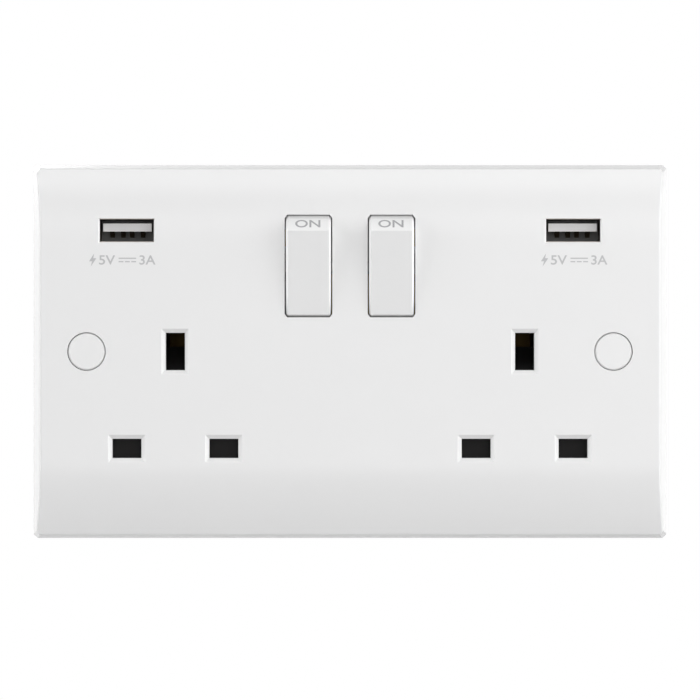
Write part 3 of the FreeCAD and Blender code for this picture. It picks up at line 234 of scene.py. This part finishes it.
def wire_skin(skin, mottle, streak, grain, depth):
    """The colour turns to its shade with the mottle, the streak makes the gloss uneven, and the grain is a
    relief of the given depth."""
    group, source, result = skin
    link = group.links.new
    tint = add(group, "ShaderNodeMix", data_type="RGBA")
    link(mottle.outputs["Fac"], tint.inputs["Factor"])
    link(source.outputs["Color"], tint.inputs[6])
    link(source.outputs["Shade"], tint.inputs[7])
    link(tint.outputs[2], result.inputs["Color"])
    spread = add(group, "ShaderNodeMath", operation="MULTIPLY_ADD")
    link(streak.outputs["Fac"], spread.inputs[0])
    link(source.outputs["Unevenness"], spread.inputs[1])
    link(source.outputs["Gloss"], spread.inputs[2])
    link(spread.outputs[0], result.inputs["Roughness"])
    link(source.outputs["Grain Size"], grain.inputs["Scale"])
    bump = add(group, "ShaderNodeBump", Distance=depth)
    link(source.outputs["Grain Height"], bump.inputs["Strength"])
    link(grain.outputs["Fac"], bump.inputs["Height"])
    link(bump.outputs["Normal"], result.inputs["Normal"])
    return group


def moulded_skin_group():
    """Moulded plastic: faint cloudy colour, uneven gloss and a fine pebbled skin."""
    skin = new_skin("moulded_skin")
    group = skin[0]
    place = object_place(group)
    cloud = noise(group, place, Scale=38.0, Detail=3.0, Roughness=0.55)
    streak = noise(group, place, Scale=420.0, Detail=4.0, Roughness=0.6)
    grain = noise(group, place, Detail=2.0, Roughness=0.5)
    return wire_skin(skin, cloud, streak, grain, depth=0.0001)


def metal_skin_group():
    """Worked metal: a dull mottle, and fine lines drawn along one axis."""
    skin = new_skin("metal_skin")
    group = skin[0]
    place = object_place(group)
    mottle = noise(group, place, Scale=260.0, Detail=5.0, Roughness=0.65)
    stretch = add(group, "ShaderNodeMapping", Scale=(1.0, 1.0, 0.04))
    group.links.new(place, stretch.inputs["Vector"])
    lines = noise(group, stretch.outputs["Vector"], Detail=3.0, Roughness=0.6)
    return wire_skin(skin, mottle, mottle, lines, depth=0.00005)


def window_shade_group():
    """Painted shade in the narrow gap round the rockers: a share that falls with the depth below the plate's
    face, on surfaces that don't look forward, and more so towards the lower end of the windows. 1 is
    unshaded."""
    group, source, result = new_group("window_shade", [("Strength", FLOAT, 1.0)], [("Share", FLOAT)])
    link = group.links.new
    coordinates = add(group, "ShaderNodeTexCoord")
    place = add(group, "ShaderNodeSeparateXYZ")
    link(coordinates.outputs["Object"], place.inputs[0])
    facing = add(group, "ShaderNodeSeparateXYZ")
    link(coordinates.outputs["Normal"], facing.inputs[0])
    across = add(group, "ShaderNodeMath", operation="ABSOLUTE")
    link(place.outputs["X"], across.inputs[0])
    reach, low, high, edge = (v * MM for v in (WINDOW_REACH, WINDOW_LOW, WINDOW_HIGH, WINDOW_EDGE))
    up = place.outputs["Z"]
    factors = (
        ramp(group, place.outputs["Y"], *(v * MM for v in WINDOW_DEPTH)),
        ramp(group, facing.outputs["Y"], *WINDOW_SIDEWAYS),
        ramp(group, across.outputs[0], reach, reach + edge, 1.0, 0.0),
        ramp(group, up, low - edge, low),
        ramp(group, up, high, high + edge, 1.0, 0.0),
        ramp(group, up, low, high, *WINDOW_DARKNESS),
    )
    loss = source.outputs["Strength"]
    for factor in factors:
        loss = product(group, loss, factor)
    share = add(group, "ShaderNodeMath", operation="SUBTRACT")
    share.inputs[0].default_value = 1.0
    link(loss, share.inputs[1])
    link(share.outputs[0], result.inputs["Share"])
    return group


def slot_shade_group():
    """Dark brown painted shade on the brass at the back of the earth clips: a share that rises with the
    distance from the place where an earth pin ends, and is the same left and right."""
    group, _, result = new_group("slot_shade", [], [("Share", FLOAT)])
    mirrored = add(group, "ShaderNodeVectorMath", operation="ABSOLUTE")
    group.links.new(object_place(group), mirrored.inputs[0])
    offset = add(group, "ShaderNodeVectorMath", operation="DISTANCE")
    group.links.new(mirrored.outputs[0], offset.inputs[0])
    offset.inputs[1].default_value = [v * MM for v in SLOT_SHADE_PLACE]
    near, far = (v * MM for v in SLOT_SHADE_REACH)
    share = ramp(group, offset.outputs["Value"], near, far, SLOT_SHADE_SHARE)
    group.links.new(share, result.inputs["Share"])
    return group


def port_shade_group():
    """Painted shade in the port: the moulding keeps its colour on the tongue and darkens further in."""
    group, _, result = new_group("port_shade", [], [("Share", FLOAT)])
    place = add(group, "ShaderNodeSeparateXYZ")
    group.links.new(object_place(group), place.inputs[0])
    front, back = (v * MM for v in PORT_DEPTH)
    share = ramp(group, place.outputs["Y"], front, back, 1.0, PORT_SHARE)
    group.links.new(share, result.inputs["Share"])
    return group


MOULDED, WORKED = moulded_skin_group(), metal_skin_group()


# Finishes
def material(name, group, settings, shader_values):
    """A material whose colour, roughness and normal come from a skin group."""
    made = bpy.data.materials.new(name)
    made.use_nodes = True
    tree = made.node_tree
    shader = tree.nodes["Principled BSDF"]
    for label, value in shader_values.items():
        shader.inputs[label].default_value = value
    skin = add_group(tree, group, settings)
    for label, socket in (("Color", "Base Color"), ("Roughness", "Roughness"), ("Normal", "Normal")):
        tree.links.new(skin.outputs[label], shader.inputs[socket])
    return made


def skin_settings(color, shade, gloss, unevenness, grain_size, grain_height):
    return {"Color": (*color, 1), "Shade": (*shade, 1), "Gloss": gloss, "Unevenness": unevenness,
            "Grain Size": grain_size, "Grain Height": grain_height}


def plastic(color, shade, gloss, unevenness=0.05, grain_size=3000.0, grain_height=0.02, coat=0.0, mirror=0.5):
    """What material() needs for a moulded piece. A mirror of 0.5 is a skin's usual reflection, and less is
    a weaker one."""
    shader_values = {"IOR": 1.5, "Coat Weight": coat, "Coat Roughness": 0.12, "Specular IOR Level": mirror}
    return MOULDED, skin_settings(color, shade, gloss, unevenness, grain_size, grain_height), shader_values


def metal(color, shade, gloss, unevenness=0.18, grain_size=1500.0, grain_height=0.05):
    """What material() needs for a metal piece."""
    settings = skin_settings(color, shade, gloss, unevenness, grain_size, grain_height)
    return WORKED, settings, {"Metallic": 1.0}


RECIPES = {
    "face_white": plastic((0.80, 0.80, 0.80), (0.785, 0.785, 0.787), 0.24, 0.03, grain_height=0.008),
    "rocker_white": plastic((0.80, 0.80, 0.80), (0.785, 0.785, 0.787), 0.24, 0.03, grain_height=0.008),
    "cap_white": plastic((0.81, 0.81, 0.81), (0.795, 0.795, 0.795), 0.26),
    "base_white": plastic((0.68, 0.68, 0.66), (0.62, 0.62, 0.60), 0.5, 0.12, 1600.0, 0.12),
    "shutter_dark": plastic((0.012, 0.011, 0.011), (0.008, 0.008, 0.008), 0.42, 0.1, mirror=0.12),
    "carrier_dark": plastic((0.015, 0.015, 0.016), (0.01, 0.01, 0.01), 0.5, 0.1, mirror=0.12),
    "plunger_nylon": plastic((0.66, 0.62, 0.50), (0.60, 0.56, 0.44), 0.4, 0.1),
    "brass": metal((0.72, 0.47, 0.18), (0.50, 0.31, 0.12), 0.24),
    "terminal_brass": metal((0.70, 0.48, 0.20), (0.56, 0.37, 0.15), 0.3, 0.2, 2600.0, 0.12),
    "zinc_steel": metal((0.56, 0.57, 0.58), (0.40, 0.41, 0.44), 0.28, 0.22, 2200.0, 0.08),
    "spring_steel": metal((0.42, 0.43, 0.45), (0.30, 0.31, 0.33), 0.26),
    "port_steel": metal((0.42, 0.39, 0.36), (0.30, 0.27, 0.25), 0.3),
    "port_white": plastic((0.94, 0.94, 0.94), (0.91, 0.91, 0.91), 0.4, 0.1),
    # Painted shade: contact_gold keeps gold's hue but is far darker than gold, for contacts that lie in shade
    # under the tongue
    "contact_gold": metal((0.14, 0.11, 0.07), (0.07, 0.06, 0.045), 0.4),
    "board_green": plastic((0.015, 0.09, 0.035), (0.01, 0.06, 0.025), 0.3, 0.15, coat=0.6),
    "ferrite": plastic((0.03, 0.03, 0.032), (0.02, 0.02, 0.022), 0.6, 0.15, 1200.0, 0.3),
    "coil_tape": plastic((0.62, 0.42, 0.03), (0.54, 0.36, 0.02), 0.28, 0.1),
    "capacitor_can": metal((0.35, 0.37, 0.42), (0.25, 0.27, 0.32), 0.35),
    "chip_black": plastic((0.012, 0.012, 0.012), (0.02, 0.02, 0.02), 0.5, 0.15, 1400.0, 0.2),
    "print_grey": plastic((0.36, 0.36, 0.37), (0.32, 0.32, 0.33), 0.35, 0.1),
    "mark_grey": plastic((0.50, 0.50, 0.51), (0.46, 0.46, 0.47), 0.35, 0.1),
    "floor_pale": plastic((0.80, 0.80, 0.80), (0.79, 0.79, 0.79), 0.7),
}
FINISHES = {name: material(name, *recipe) for name, recipe in RECIPES.items()}


def darken(name, group, dull=0.0, **settings):
    """Multiplies a finish's colour by the group's share, and adds dull times what the share lacks to its
    roughness."""
    tree = FINISHES[name].node_tree
    link = tree.links.new
    shader = tree.nodes["Principled BSDF"]
    share = add_group(tree, group, settings).outputs["Share"]
    color = add(tree, "ShaderNodeVectorMath", operation="SCALE")
    link(shader.inputs["Base Color"].links[0].from_socket, color.inputs[0])
    link(share, color.inputs["Scale"])
    link(color.outputs[0], shader.inputs["Base Color"])
    lack = add(tree, "ShaderNodeMath", operation="MULTIPLY_ADD")
    link(share, lack.inputs[0])
    lack.inputs[1].default_value = -dull
    lack.inputs[2].default_value = dull
    rough = add(tree, "ShaderNodeMath", operation="ADD")
    link(shader.inputs["Roughness"].links[0].from_socket, rough.inputs[0])
    link(lack.outputs[0], rough.inputs[1])
    link(rough.outputs[0], shader.inputs["Roughness"])


# Painted shade in the gaps round the rockers, weaker on the rockers themselves
WINDOW_SHADE = window_shade_group()
for finish_name, window_strength in WINDOW_STRENGTH.items():
    darken(finish_name, WINDOW_SHADE, WINDOW_DULL, Strength=window_strength)
# Painted shade on the brass behind the earth slots
darken("brass", slot_shade_group())
# Painted shade deep inside the ports
darken("port_white", port_shade_group())

SLOT_OF = {part["node"]: part["material_slot"] for part in frame["record"]["subparts"]}
BODY_OF = {node: body for body, nodes in frame["record"]["behaviour"]["bodies"].items() for node in nodes}


# Meshes
def read_values(items, name, width=1, kind=float):
    """One attribute of all items as an array, with a row an item where it has more than one number."""
    values = np.empty(len(items) * width, kind)
    items.foreach_get(name, values)
    return values.reshape(-1, width) if width > 1 else values


def write_places(mesh, places):
    mesh.vertices.foreach_set("co", places.ravel())
    mesh.update()


def new_piece(name, mesh, body, slot, finish=None):
    """A piece at the origin that rides on a body, in its slot's finish or in another."""
    piece = bpy.data.objects.new(name, mesh)
    bpy.context.scene.collection.objects.link(piece)
    mesh.materials.clear()
    mesh.materials.append(FINISHES[finish or slot])
    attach(piece, body)
    return piece


def smooth_by_angle(mesh, degrees):
    mesh.shade_smooth()
    mesh.set_sharp_from_angle(angle=math.radians(degrees))


def merged_copy(node):
    """The node's own surface with its loose triangles joined, and no normals of its own."""
    joined = bmesh.new()
    joined.from_mesh(frame["nodes"][node].data)
    bmesh.ops.remove_doubles(joined, verts=joined.verts, dist=MERGE_DISTANCE)
    joined.verts.index_update()
    mesh = bpy.data.meshes.new(f"{node}_finished")
    mesh.from_pydata([v.co for v in joined.verts], [], [[v.index for v in f.verts] for f in joined.faces])
    mesh.update()
    joined.free()
    smooth_by_angle(mesh, SMOOTH_ANGLE)
    return mesh


def finished(node):
    """A smooth-shaded stand-in for a CAD node, in the node's own finish."""
    piece = new_piece(f"{node}_finished", merged_copy(node), BODY_OF[node], SLOT_OF[node])
    weights = piece.modifiers.new("even_normals", "WEIGHTED_NORMAL")
    weights.keep_sharp = True
    weights.weight = 100
    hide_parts(node)
    return piece


def even_normals(piece):
    """The corner normals that the piece's modifier gives, one row a corner."""
    bpy.context.view_layer.update()
    mesh = piece.evaluated_get(bpy.context.evaluated_depsgraph_get()).data
    return read_values(mesh.corner_normals, "vector", 3)


def tube_mesh(name, points):
    """A tube from rows of rings: quads join each ring to the next, and the first and last ring are filled."""
    rows, around = points.shape[:2]
    index = np.arange(rows * around).reshape(rows, around)
    here, after = index[:-1], index[1:]
    quads = np.stack([here, np.roll(here, -1, 1), np.roll(after, -1, 1), after], -1).reshape(-1, 4)
    faces = quads.tolist() + [index[0, ::-1].tolist(), index[-1].tolist()]
    mesh = bpy.data.meshes.new(name)
    mesh.from_pydata(points.reshape(-1, 3).tolist(), [], faces)
    mesh.update()
    smooth_by_angle(mesh, TUBE_ANGLE)
    return mesh


# Springs
def coil_points(start, finish, radius, wire, turns):
    """A spring: the wire's centre goes round the axis at one radius while it rises from start to finish, and
    rises slowly over the first and last turn, so that the ends lie closed. A circle of the wire's radius is
    carried along that line, in the plane of the radial and the axial direction."""
    start, finish = np.array(start, float), np.array(finish, float)
    axis = finish - start
    length = np.linalg.norm(axis)
    axis = axis / length
    first = np.cross(axis, [1.0, 0.0, 0.0])
    first = first / np.linalg.norm(first)
    second = np.cross(axis, first)
    share = np.linspace(0, 1, int(turns * COIL_STEPS) + 1)
    end_turn, end_rise = 1 / turns, 2 * wire / length
    rise = wire + (length - 2 * wire) * np.interp(
        share, [0, end_turn, 1 - end_turn, 1], [0, end_rise, 1 - end_rise, 1])
    turn = 2 * np.pi * turns * share
    out = np.cos(turn)[:, None] * first + np.sin(turn)[:, None] * second
    centre = start + rise[:, None] * axis + radius * out
    angle = np.linspace(0, 2 * np.pi, COIL_AROUND, endpoint=False)
    ring = np.cos(angle)[None, :, None] * out[:, None, :] + np.sin(angle)[None, :, None] * axis
    return (centre[:, None, :] + wire * ring) * MM


def add_spring(kind, side_name, body, start, finish, coil):
    """A coil in place of its CAD rod."""
    name = f"{kind}_coil_{side_name}"
    piece = new_piece(name, tube_mesh(name, coil_points(start, finish, *coil)), body, "spring_steel")
    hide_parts(f"{kind}_spring_{side_name}")
    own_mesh(piece)


def add_springs():
    """The return springs under the shutters and the springs behind the plungers."""
    forward = np.array([0.0, math.cos(ROCKER_TILT), math.sin(ROCKER_TILT)])
    shutter_coil = (SHUTTER_COIL_RADIUS, SHUTTER_COIL_WIRE, SHUTTER_COIL_TURNS)
    plunger_coil = (PLUNGER_COIL_RADIUS, PLUNGER_COIL_WIRE, PLUNGER_COIL_TURNS)
    for name, side in SIDES.items():
        foot = (side * SOCKET_X, SHUTTER_COIL_Y, SHUTTER_COIL_FOOT)
        top = (side * SOCKET_X, SHUTTER_COIL_Y, SHUTTER_COIL_TOP)
        add_spring("shutter", name, "housing", foot, top, shutter_coil)
        pivot = np.array([side * ROCKER_PITCH / 2, 0.0, ROCKER_HEIGHT])
        front, back = pivot - PLUNGER_COIL_FRONT * forward, pivot - PLUNGER_COIL_BACK * forward
        body = f"rocker_{name}"
        add_spring("plunger", name, body, front, back, plunger_coil)


# Fixing screws
def thread_points(x):
    """A screw thread round the Y axis: the radius is the thread's outer one less a sawtooth that rises and
    falls once a pitch along the axis, and is shifted by one pitch in a full turn. It fades to the root at
    the screw's tip."""
    along = np.arange(THREAD_START, THREAD_END + 1e-9, THREAD_PITCH / THREAD_STEPS)
    angle = np.linspace(0, 2 * np.pi, THREAD_AROUND, endpoint=False)
    y, turn = np.meshgrid(along, angle, indexing="ij")
    phase = (y / THREAD_PITCH - turn / (2 * np.pi)) % 1
    groove = np.abs(2 * phase - 1)
    fade = np.clip((THREAD_END - y) / THREAD_PITCH, 0, 1)
    radius = FIXING_THREAD - THREAD_DEPTH * (1 - groove * fade)
    return np.stack([x + radius * np.sin(turn), y, radius * np.cos(turn)], -1) * MM


def add_fixing_screws():
    """The CAD screws with the shank drawn in to the thread's root, and the thread over it."""
    mesh = finished("fixing_screws").data
    co = read_values(mesh.vertices, "co", 3)
    centre = np.sign(co[:, 0]) * FIXING_X * MM
    radius = np.hypot(co[:, 0] - centre, co[:, 2])
    shank = (co[:, 1] > SHANK_START * MM) & (radius > SHANK_EDGE * MM)
    scale = np.where(shank, (FIXING_THREAD - THREAD_DEPTH - SHANK_GAP) / FIXING_THREAD, 1.0)
    co[:, 0] = centre + (co[:, 0] - centre) * scale
    co[:, 2] *= scale
    write_places(mesh, co)
    for name, side in SIDES.items():
        thread = tube_mesh(f"fixing_thread_{name}", thread_points(side * FIXING_X))
        new_piece(f"fixing_thread_{name}", thread, "housing", "zinc_steel")


# Marks
def text_mesh(name, words, height, width, weight=LETTER_WEIGHT):
    """Flat letters in X and Y about the origin, of a given height and width, from 0 to 1 in Z."""
    curve = bpy.data.curves.new(name, "FONT")
    curve.body = words
    curve.align_x, curve.align_y = "CENTER", "CENTER"
    curve.extrude = LETTER_EXTRUDE
    curve.offset = weight
    curve.resolution_u = LETTER_STEPS
    holder = bpy.data.objects.new(name, curve)
    bpy.context.scene.collection.objects.link(holder)
    bpy.context.view_layer.update()
    evaluated = holder.evaluated_get(bpy.context.evaluated_depsgraph_get())
    mesh = bpy.data.meshes.new_from_object(evaluated)
    bpy.data.objects.remove(holder)
    co = read_values(mesh.vertices, "co", 3)
    low, high = co.min(0)[:2], co.max(0)[:2]
    co[:, :2] = (co[:, :2] - (low + high) / 2) / (high - low) * [width, height]
    co[:, 2] = np.where(co[:, 2] > 0, 1.0, 0.0)
    mesh.vertices.foreach_set("co", co.ravel())
    return mesh


def outline_mesh(name, corners):
    """A flat shape from a closed run of corners, with a front at 1 and a back at 0 in Z. A quad joins each
    side of the front to the same side of the back."""
    flat = np.array(corners, float)
    count = len(flat)
    points = np.vstack([np.column_stack([flat, np.full(count, level)]) for level in (1.0, 0.0)])
    here = np.arange(count)
    after = (here + 1) % count
    sides = np.stack([here, here + count, after + count, after], -1)
    mesh = bpy.data.meshes.new(name)
    mesh.from_pydata(points.tolist(), [], [here.tolist(), (here[::-1] + count).tolist()] + sides.tolist())
    mesh.update()
    return mesh


def bar(x, y, width, height):
    """The corners of a bar about a point."""
    return [(x - width / 2, y - height / 2), (x + width / 2, y - height / 2),
            (x + width / 2, y + height / 2), (x - width / 2, y + height / 2)]


def slice_mesh(mesh, heights):
    """Cuts a mesh at heights along Y, so that it can be bent."""
    cut = bmesh.new()
    cut.from_mesh(mesh)
    for height in heights:
        every = cut.verts[:] + cut.edges[:] + cut.faces[:]
        bmesh.ops.bisect_plane(cut, geom=every, plane_co=(0, height, 0), plane_no=(0, 1, 0))
    cut.to_mesh(mesh)
    cut.free()


def reshape(mesh, formula):
    """Moves each corner to where the formula puts its across, up and outward coordinates."""
    across, up, out = read_values(mesh.vertices, "co", 3).T
    write_places(mesh, np.stack(formula(across, up, out), -1) * MM)


def on_drum(x):
    """Wraps letters round a rocker's drum: up the letter is an angle about the pivot, and its thickness is
    added to the drum's radius."""
    def formula(across, up, out):
        angle = ON_ANGLE + up / ROCKER_RADIUS
        radius = ROCKER_RADIUS - INK_SINK + INK * out
        return x + across, -radius * np.cos(angle), ROCKER_HEIGHT + radius * np.sin(angle)
    return formula


def on_face(x, z):
    """Puts a mark flat on the plate's face about a point."""
    return lambda across, up, out: (x + across, -FACE_DEPTH + INK_SINK - INK * out, z + up)


def on_back(x, z):
    """Puts a mark on the base's back about a point, so that it reads from behind."""
    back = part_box("rear_base")[1][1] / MM
    return lambda across, up, out: (x - across, back - BACK_SINK + BACK_RISE * out, z + up)


def add_on_marks():
    """ON on the upper end of each rocker."""
    for name, side in SIDES.items():
        mesh = text_mesh(f"on_mark_{name}", "ON", ON_TALL, ON_WIDE)
        slice_mesh(mesh, np.linspace(-1.0, 1.0, ON_CUTS))
        reshape(mesh, on_drum(side * ROCKER_PITCH / 2 + ON_SHIFT))
        new_piece(f"on_mark_{name}", mesh, f"rocker_{name}", "rocker_white", "print_grey")


def add_mark(name, mesh, side, place):
    """A mark in the row under a port."""
    reshape(mesh, on_face(side * (PORT_X + MARK_SHIFT) + MARK_SPREAD[place], MARK_HEIGHT))
    new_piece(name, mesh, "housing", "face_white", "mark_grey")


def add_port_marks():
    """Under each port: a bolt, 5V, the sign for direct current and 3A."""
    for name, side in SIDES.items():
        add_mark(f"bolt_mark_{name}", outline_mesh("bolt", BOLT), side, "bolt")
        add_mark(f"volt_mark_{name}", text_mesh("volts", "5V", MARK_TALL, MARK_WIDE), side, "volts")
        line = outline_mesh("line", bar(0, BAR_RISE, LINE_WIDE, BAR_TALL))
        add_mark(f"direct_line_{name}", line, side, "direct")
        for index, offset in enumerate((-DASH_PITCH, 0, DASH_PITCH)):
            dash = outline_mesh("dash", bar(offset, -BAR_RISE, DASH_WIDE, BAR_TALL))
            add_mark(f"direct_dash_{name}_{index}", dash, side, "direct")
        add_mark(f"amp_mark_{name}", text_mesh("amps", "3A", MARK_TALL, MARK_WIDE), side, "amps")


def add_terminal_marks():
    """Raised marks over the clamps on the base's back: N, L and the sign for earth."""
    for clamp in ("neutral", "earth_left", "earth_right", "live"):
        low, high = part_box(f"terminal_{clamp}")
        place = on_back((low[0] + high[0]) / 2 / MM, high[2] / MM + LETTER_RISE)
        if clamp.startswith("earth"):
            shapes = [outline_mesh("stroke", bar(0, *stroke)) for stroke in EARTH_SIGN]
        else:
            shapes = [text_mesh("letter", clamp[0].upper(), LETTER_TALL, LETTER_WIDE, LETTER_BOLD)]
        for index, mesh in enumerate(shapes):
            reshape(mesh, place)
            new_piece(f"{clamp}_mark_{index}", mesh, "housing", "base_white")


# Port contacts
def bow_points(x, front, under):
    """The sprung part of a contact: its height below the tongue is the bow's depth times the squared sine of
    its way back, which runs from 0 to pi. A flat strip's section is carried along that line."""
    share = np.linspace(0, 1, BOW_STEPS)[:, None]
    half = CONTACT_WIDTH / 2
    dx, dz = np.array([(-half, 0), (half, 0), (half, CONTACT_SHEET), (-half, CONTACT_SHEET)]).T
    y = front + BOW_LENGTH * share
    z = under - CONTACT_SHEET - BOW_DEPTH * np.sin(math.pi * share) ** 2
    return np.stack(np.broadcast_arrays(x + dx, y, z + dz), -1) * MM


def add_contact_bows():
    """The sprung parts of the four contacts under each port's tongue."""
    for name in SIDES:
        low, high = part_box(f"usb_contacts_{name}")
        middle, front, under = (low[0] + high[0]) / 2 / MM, low[1] / MM, high[2] / MM
        for index, offset in enumerate(CONTACT_PLACES):
            bow = tube_mesh(f"contact_bow_{name}_{index}", bow_points(middle + offset, front, under))
            new_piece(f"contact_bow_{name}_{index}", bow, "housing", "contact_gold")


# Front plate
def curve_normals(mesh, normal):
    """True normals on the two curved stretches of the face: on the cylinder that runs back from the flat to a
    long edge, the normal points away from the cylinder's axis. The bevel round the rim turns from that normal
    to the side wall's, so that it looks rounded. All other corners keep the even ones."""
    corner = read_values(mesh.loops, "vertex_index", kind=int)
    co = read_values(mesh.vertices, "co", 3)[corner] / MM
    sizes = read_values(mesh.polygons, "loop_total", kind=int)
    owner = np.repeat(read_values(mesh.polygons, "normal", 3), sizes, axis=0)
    centre = np.abs(np.repeat(read_values(mesh.polygons, "center", 3), sizes, axis=0)) / MM
    depth = co[:, 1] - (CURVE_RADIUS - FACE_DEPTH)
    beyond = np.clip(np.abs(co[:, 2]) - FLAT_HALF, 0, None)
    true = np.stack([np.zeros_like(depth), depth, np.sign(co[:, 2]) * beyond], -1)
    true /= np.linalg.norm(true, axis=1)[:, None]
    on_cylinder = np.abs(np.hypot(depth, beyond) - CURVE_RADIUS) < ON_CURVE
    agreement = (owner * true).sum(1)
    face = on_cylinder & (agreement > CURVE_AGREEMENT) & (np.abs(owner[:, 0]) < CURVE_SLANT)
    rim = (centre[:, 0] > RIM_X) | (centre[:, 2] > RIM_Z)
    slanted = (agreement > BEVEL_AGREEMENT[0]) & (agreement < BEVEL_AGREEMENT[1]) & (owner[:, 1] < 0)
    bevel = rim & slanted & ~face
    inner, outer = face | bevel & on_cylinder, bevel & ~on_cylinder
    upright = np.abs(owner[:, 2]) > np.abs(owner[:, 0])
    wall = np.stack([np.where(upright, 0, np.sign(owner[:, 0])), np.zeros(len(owner)),
                     np.where(upright, np.sign(owner[:, 2]), 0)], -1)
    normal[inner] = true[inner]
    normal[outer] = wall[outer]
    mesh.normals_split_custom_set(normal.tolist())


def add_front_plate():
    """The plate with its loose triangles joined and the curved stretches shaded truly."""
    piece = finished("front_plate")
    normal = even_normals(piece)
    piece.modifiers.clear()
    curve_normals(piece.data, normal)


# Nodes that keep their CAD surface: single ones, those of each clamp, and those of each side
SINGLE = ("rear_base", "base_screws", "screw_caps", "usb_capacitors",
          "neutral_busbar", "earth_busbar", "live_busbar")
CLAMPS = [f"{kind}_{name}" for kind in ("terminal", "clamp_screw")
          for name in ("neutral", "earth_left", "earth_right", "live")]
PAIRED = [f"{kind}_{name}" for name in SIDES for kind in (
    "rocker", "plunger", "seesaw", "live_contact", "shutter", "shutter_carrier", "usb_can",
    "usb_insulator", "usb_contacts", "usb_board", "transformer_core", "transformer_coil", "usb_chips")]

for plain_node in (*SINGLE, *CLAMPS, *PAIRED):
    finished(plain_node)
add_front_plate()
add_fixing_screws()
add_springs()
add_on_marks()
add_port_marks()
add_terminal_marks()
add_contact_bows()


# Studio
def add_camera():
    """A camera straight in front, so far back that the plate fills the picture as in the photograph."""
    data = bpy.data.cameras.new("camera")
    data.sensor_width = SENSOR_WIDTH
    data.lens = SENSOR_WIDTH * CAMERA_DISTANCE / VIEW_WIDTH
    camera = bpy.data.objects.new("camera", data)
    camera.location = (0, -CAMERA_DISTANCE, CAMERA_RISE)
    camera.rotation_euler = (math.pi / 2, 0, 0)
    bpy.context.scene.collection.objects.link(camera)
    bpy.context.scene.camera = camera


def add_lamp(name, place, size, watts):
    """A soft box that faces the socket."""
    data = bpy.data.lights.new(name, "AREA")
    data.shape = "RECTANGLE"
    data.size, data.size_y = size
    data.energy = watts
    lamp = bpy.data.objects.new(name, data)
    lamp.location = place
    lamp.rotation_euler = (-Vector(place)).to_track_quat("-Z", "Y").to_euler()
    bpy.context.scene.collection.objects.link(lamp)


def add_world():
    """White where the camera, a mirror or glass looks, and a plain faint light for all else."""
    world = bpy.data.worlds.new("studio")
    world.use_nodes = True
    tree = world.node_tree
    plain = tree.nodes["Background"]
    plain.inputs["Color"].default_value = (1, 1, 1, 1)
    plain.inputs["Strength"].default_value = WORLD_LIGHT
    path = add(tree, "ShaderNodeLightPath")
    seen = path.outputs["Is Camera Ray"]
    for kind in ("Is Glossy Ray", "Is Transmission Ray"):
        either = add(tree, "ShaderNodeMath", operation="MAXIMUM")
        tree.links.new(seen, either.inputs[0])
        tree.links.new(path.outputs[kind], either.inputs[1])
        seen = either.outputs[0]
    white = add(tree, "ShaderNodeBackground", Color=(1, 1, 1, 1), Strength=1)
    mix = add(tree, "ShaderNodeMixShader")
    tree.links.new(seen, mix.inputs["Fac"])
    tree.links.new(plain.outputs[0], mix.inputs[1])
    tree.links.new(white.outputs[0], mix.inputs[2])
    tree.links.new(mix.outputs[0], tree.nodes["World Output"].inputs["Surface"])
    bpy.context.scene.world = world


def add_floor():
    """A pale floor below the socket."""
    mesh = bpy.data.meshes.new("floor")
    corners = [(x * FLOOR_HALF, y * FLOOR_HALF, FLOOR_LEVEL) for x, y in ((-1, -1), (1, -1), (1, 1), (-1, 1))]
    mesh.from_pydata(corners, [], [(0, 1, 2, 3)])
    mesh.materials.append(FINISHES["floor_pale"])
    floor = bpy.data.objects.new("floor", mesh)
    bpy.context.scene.collection.objects.link(floor)


add_camera()
add_world()
add_floor()
for lamp_name, lamp_values in LAMPS.items():
    add_lamp(lamp_name, *lamp_values)
bpy.context.scene.view_settings.view_transform = "Standard"
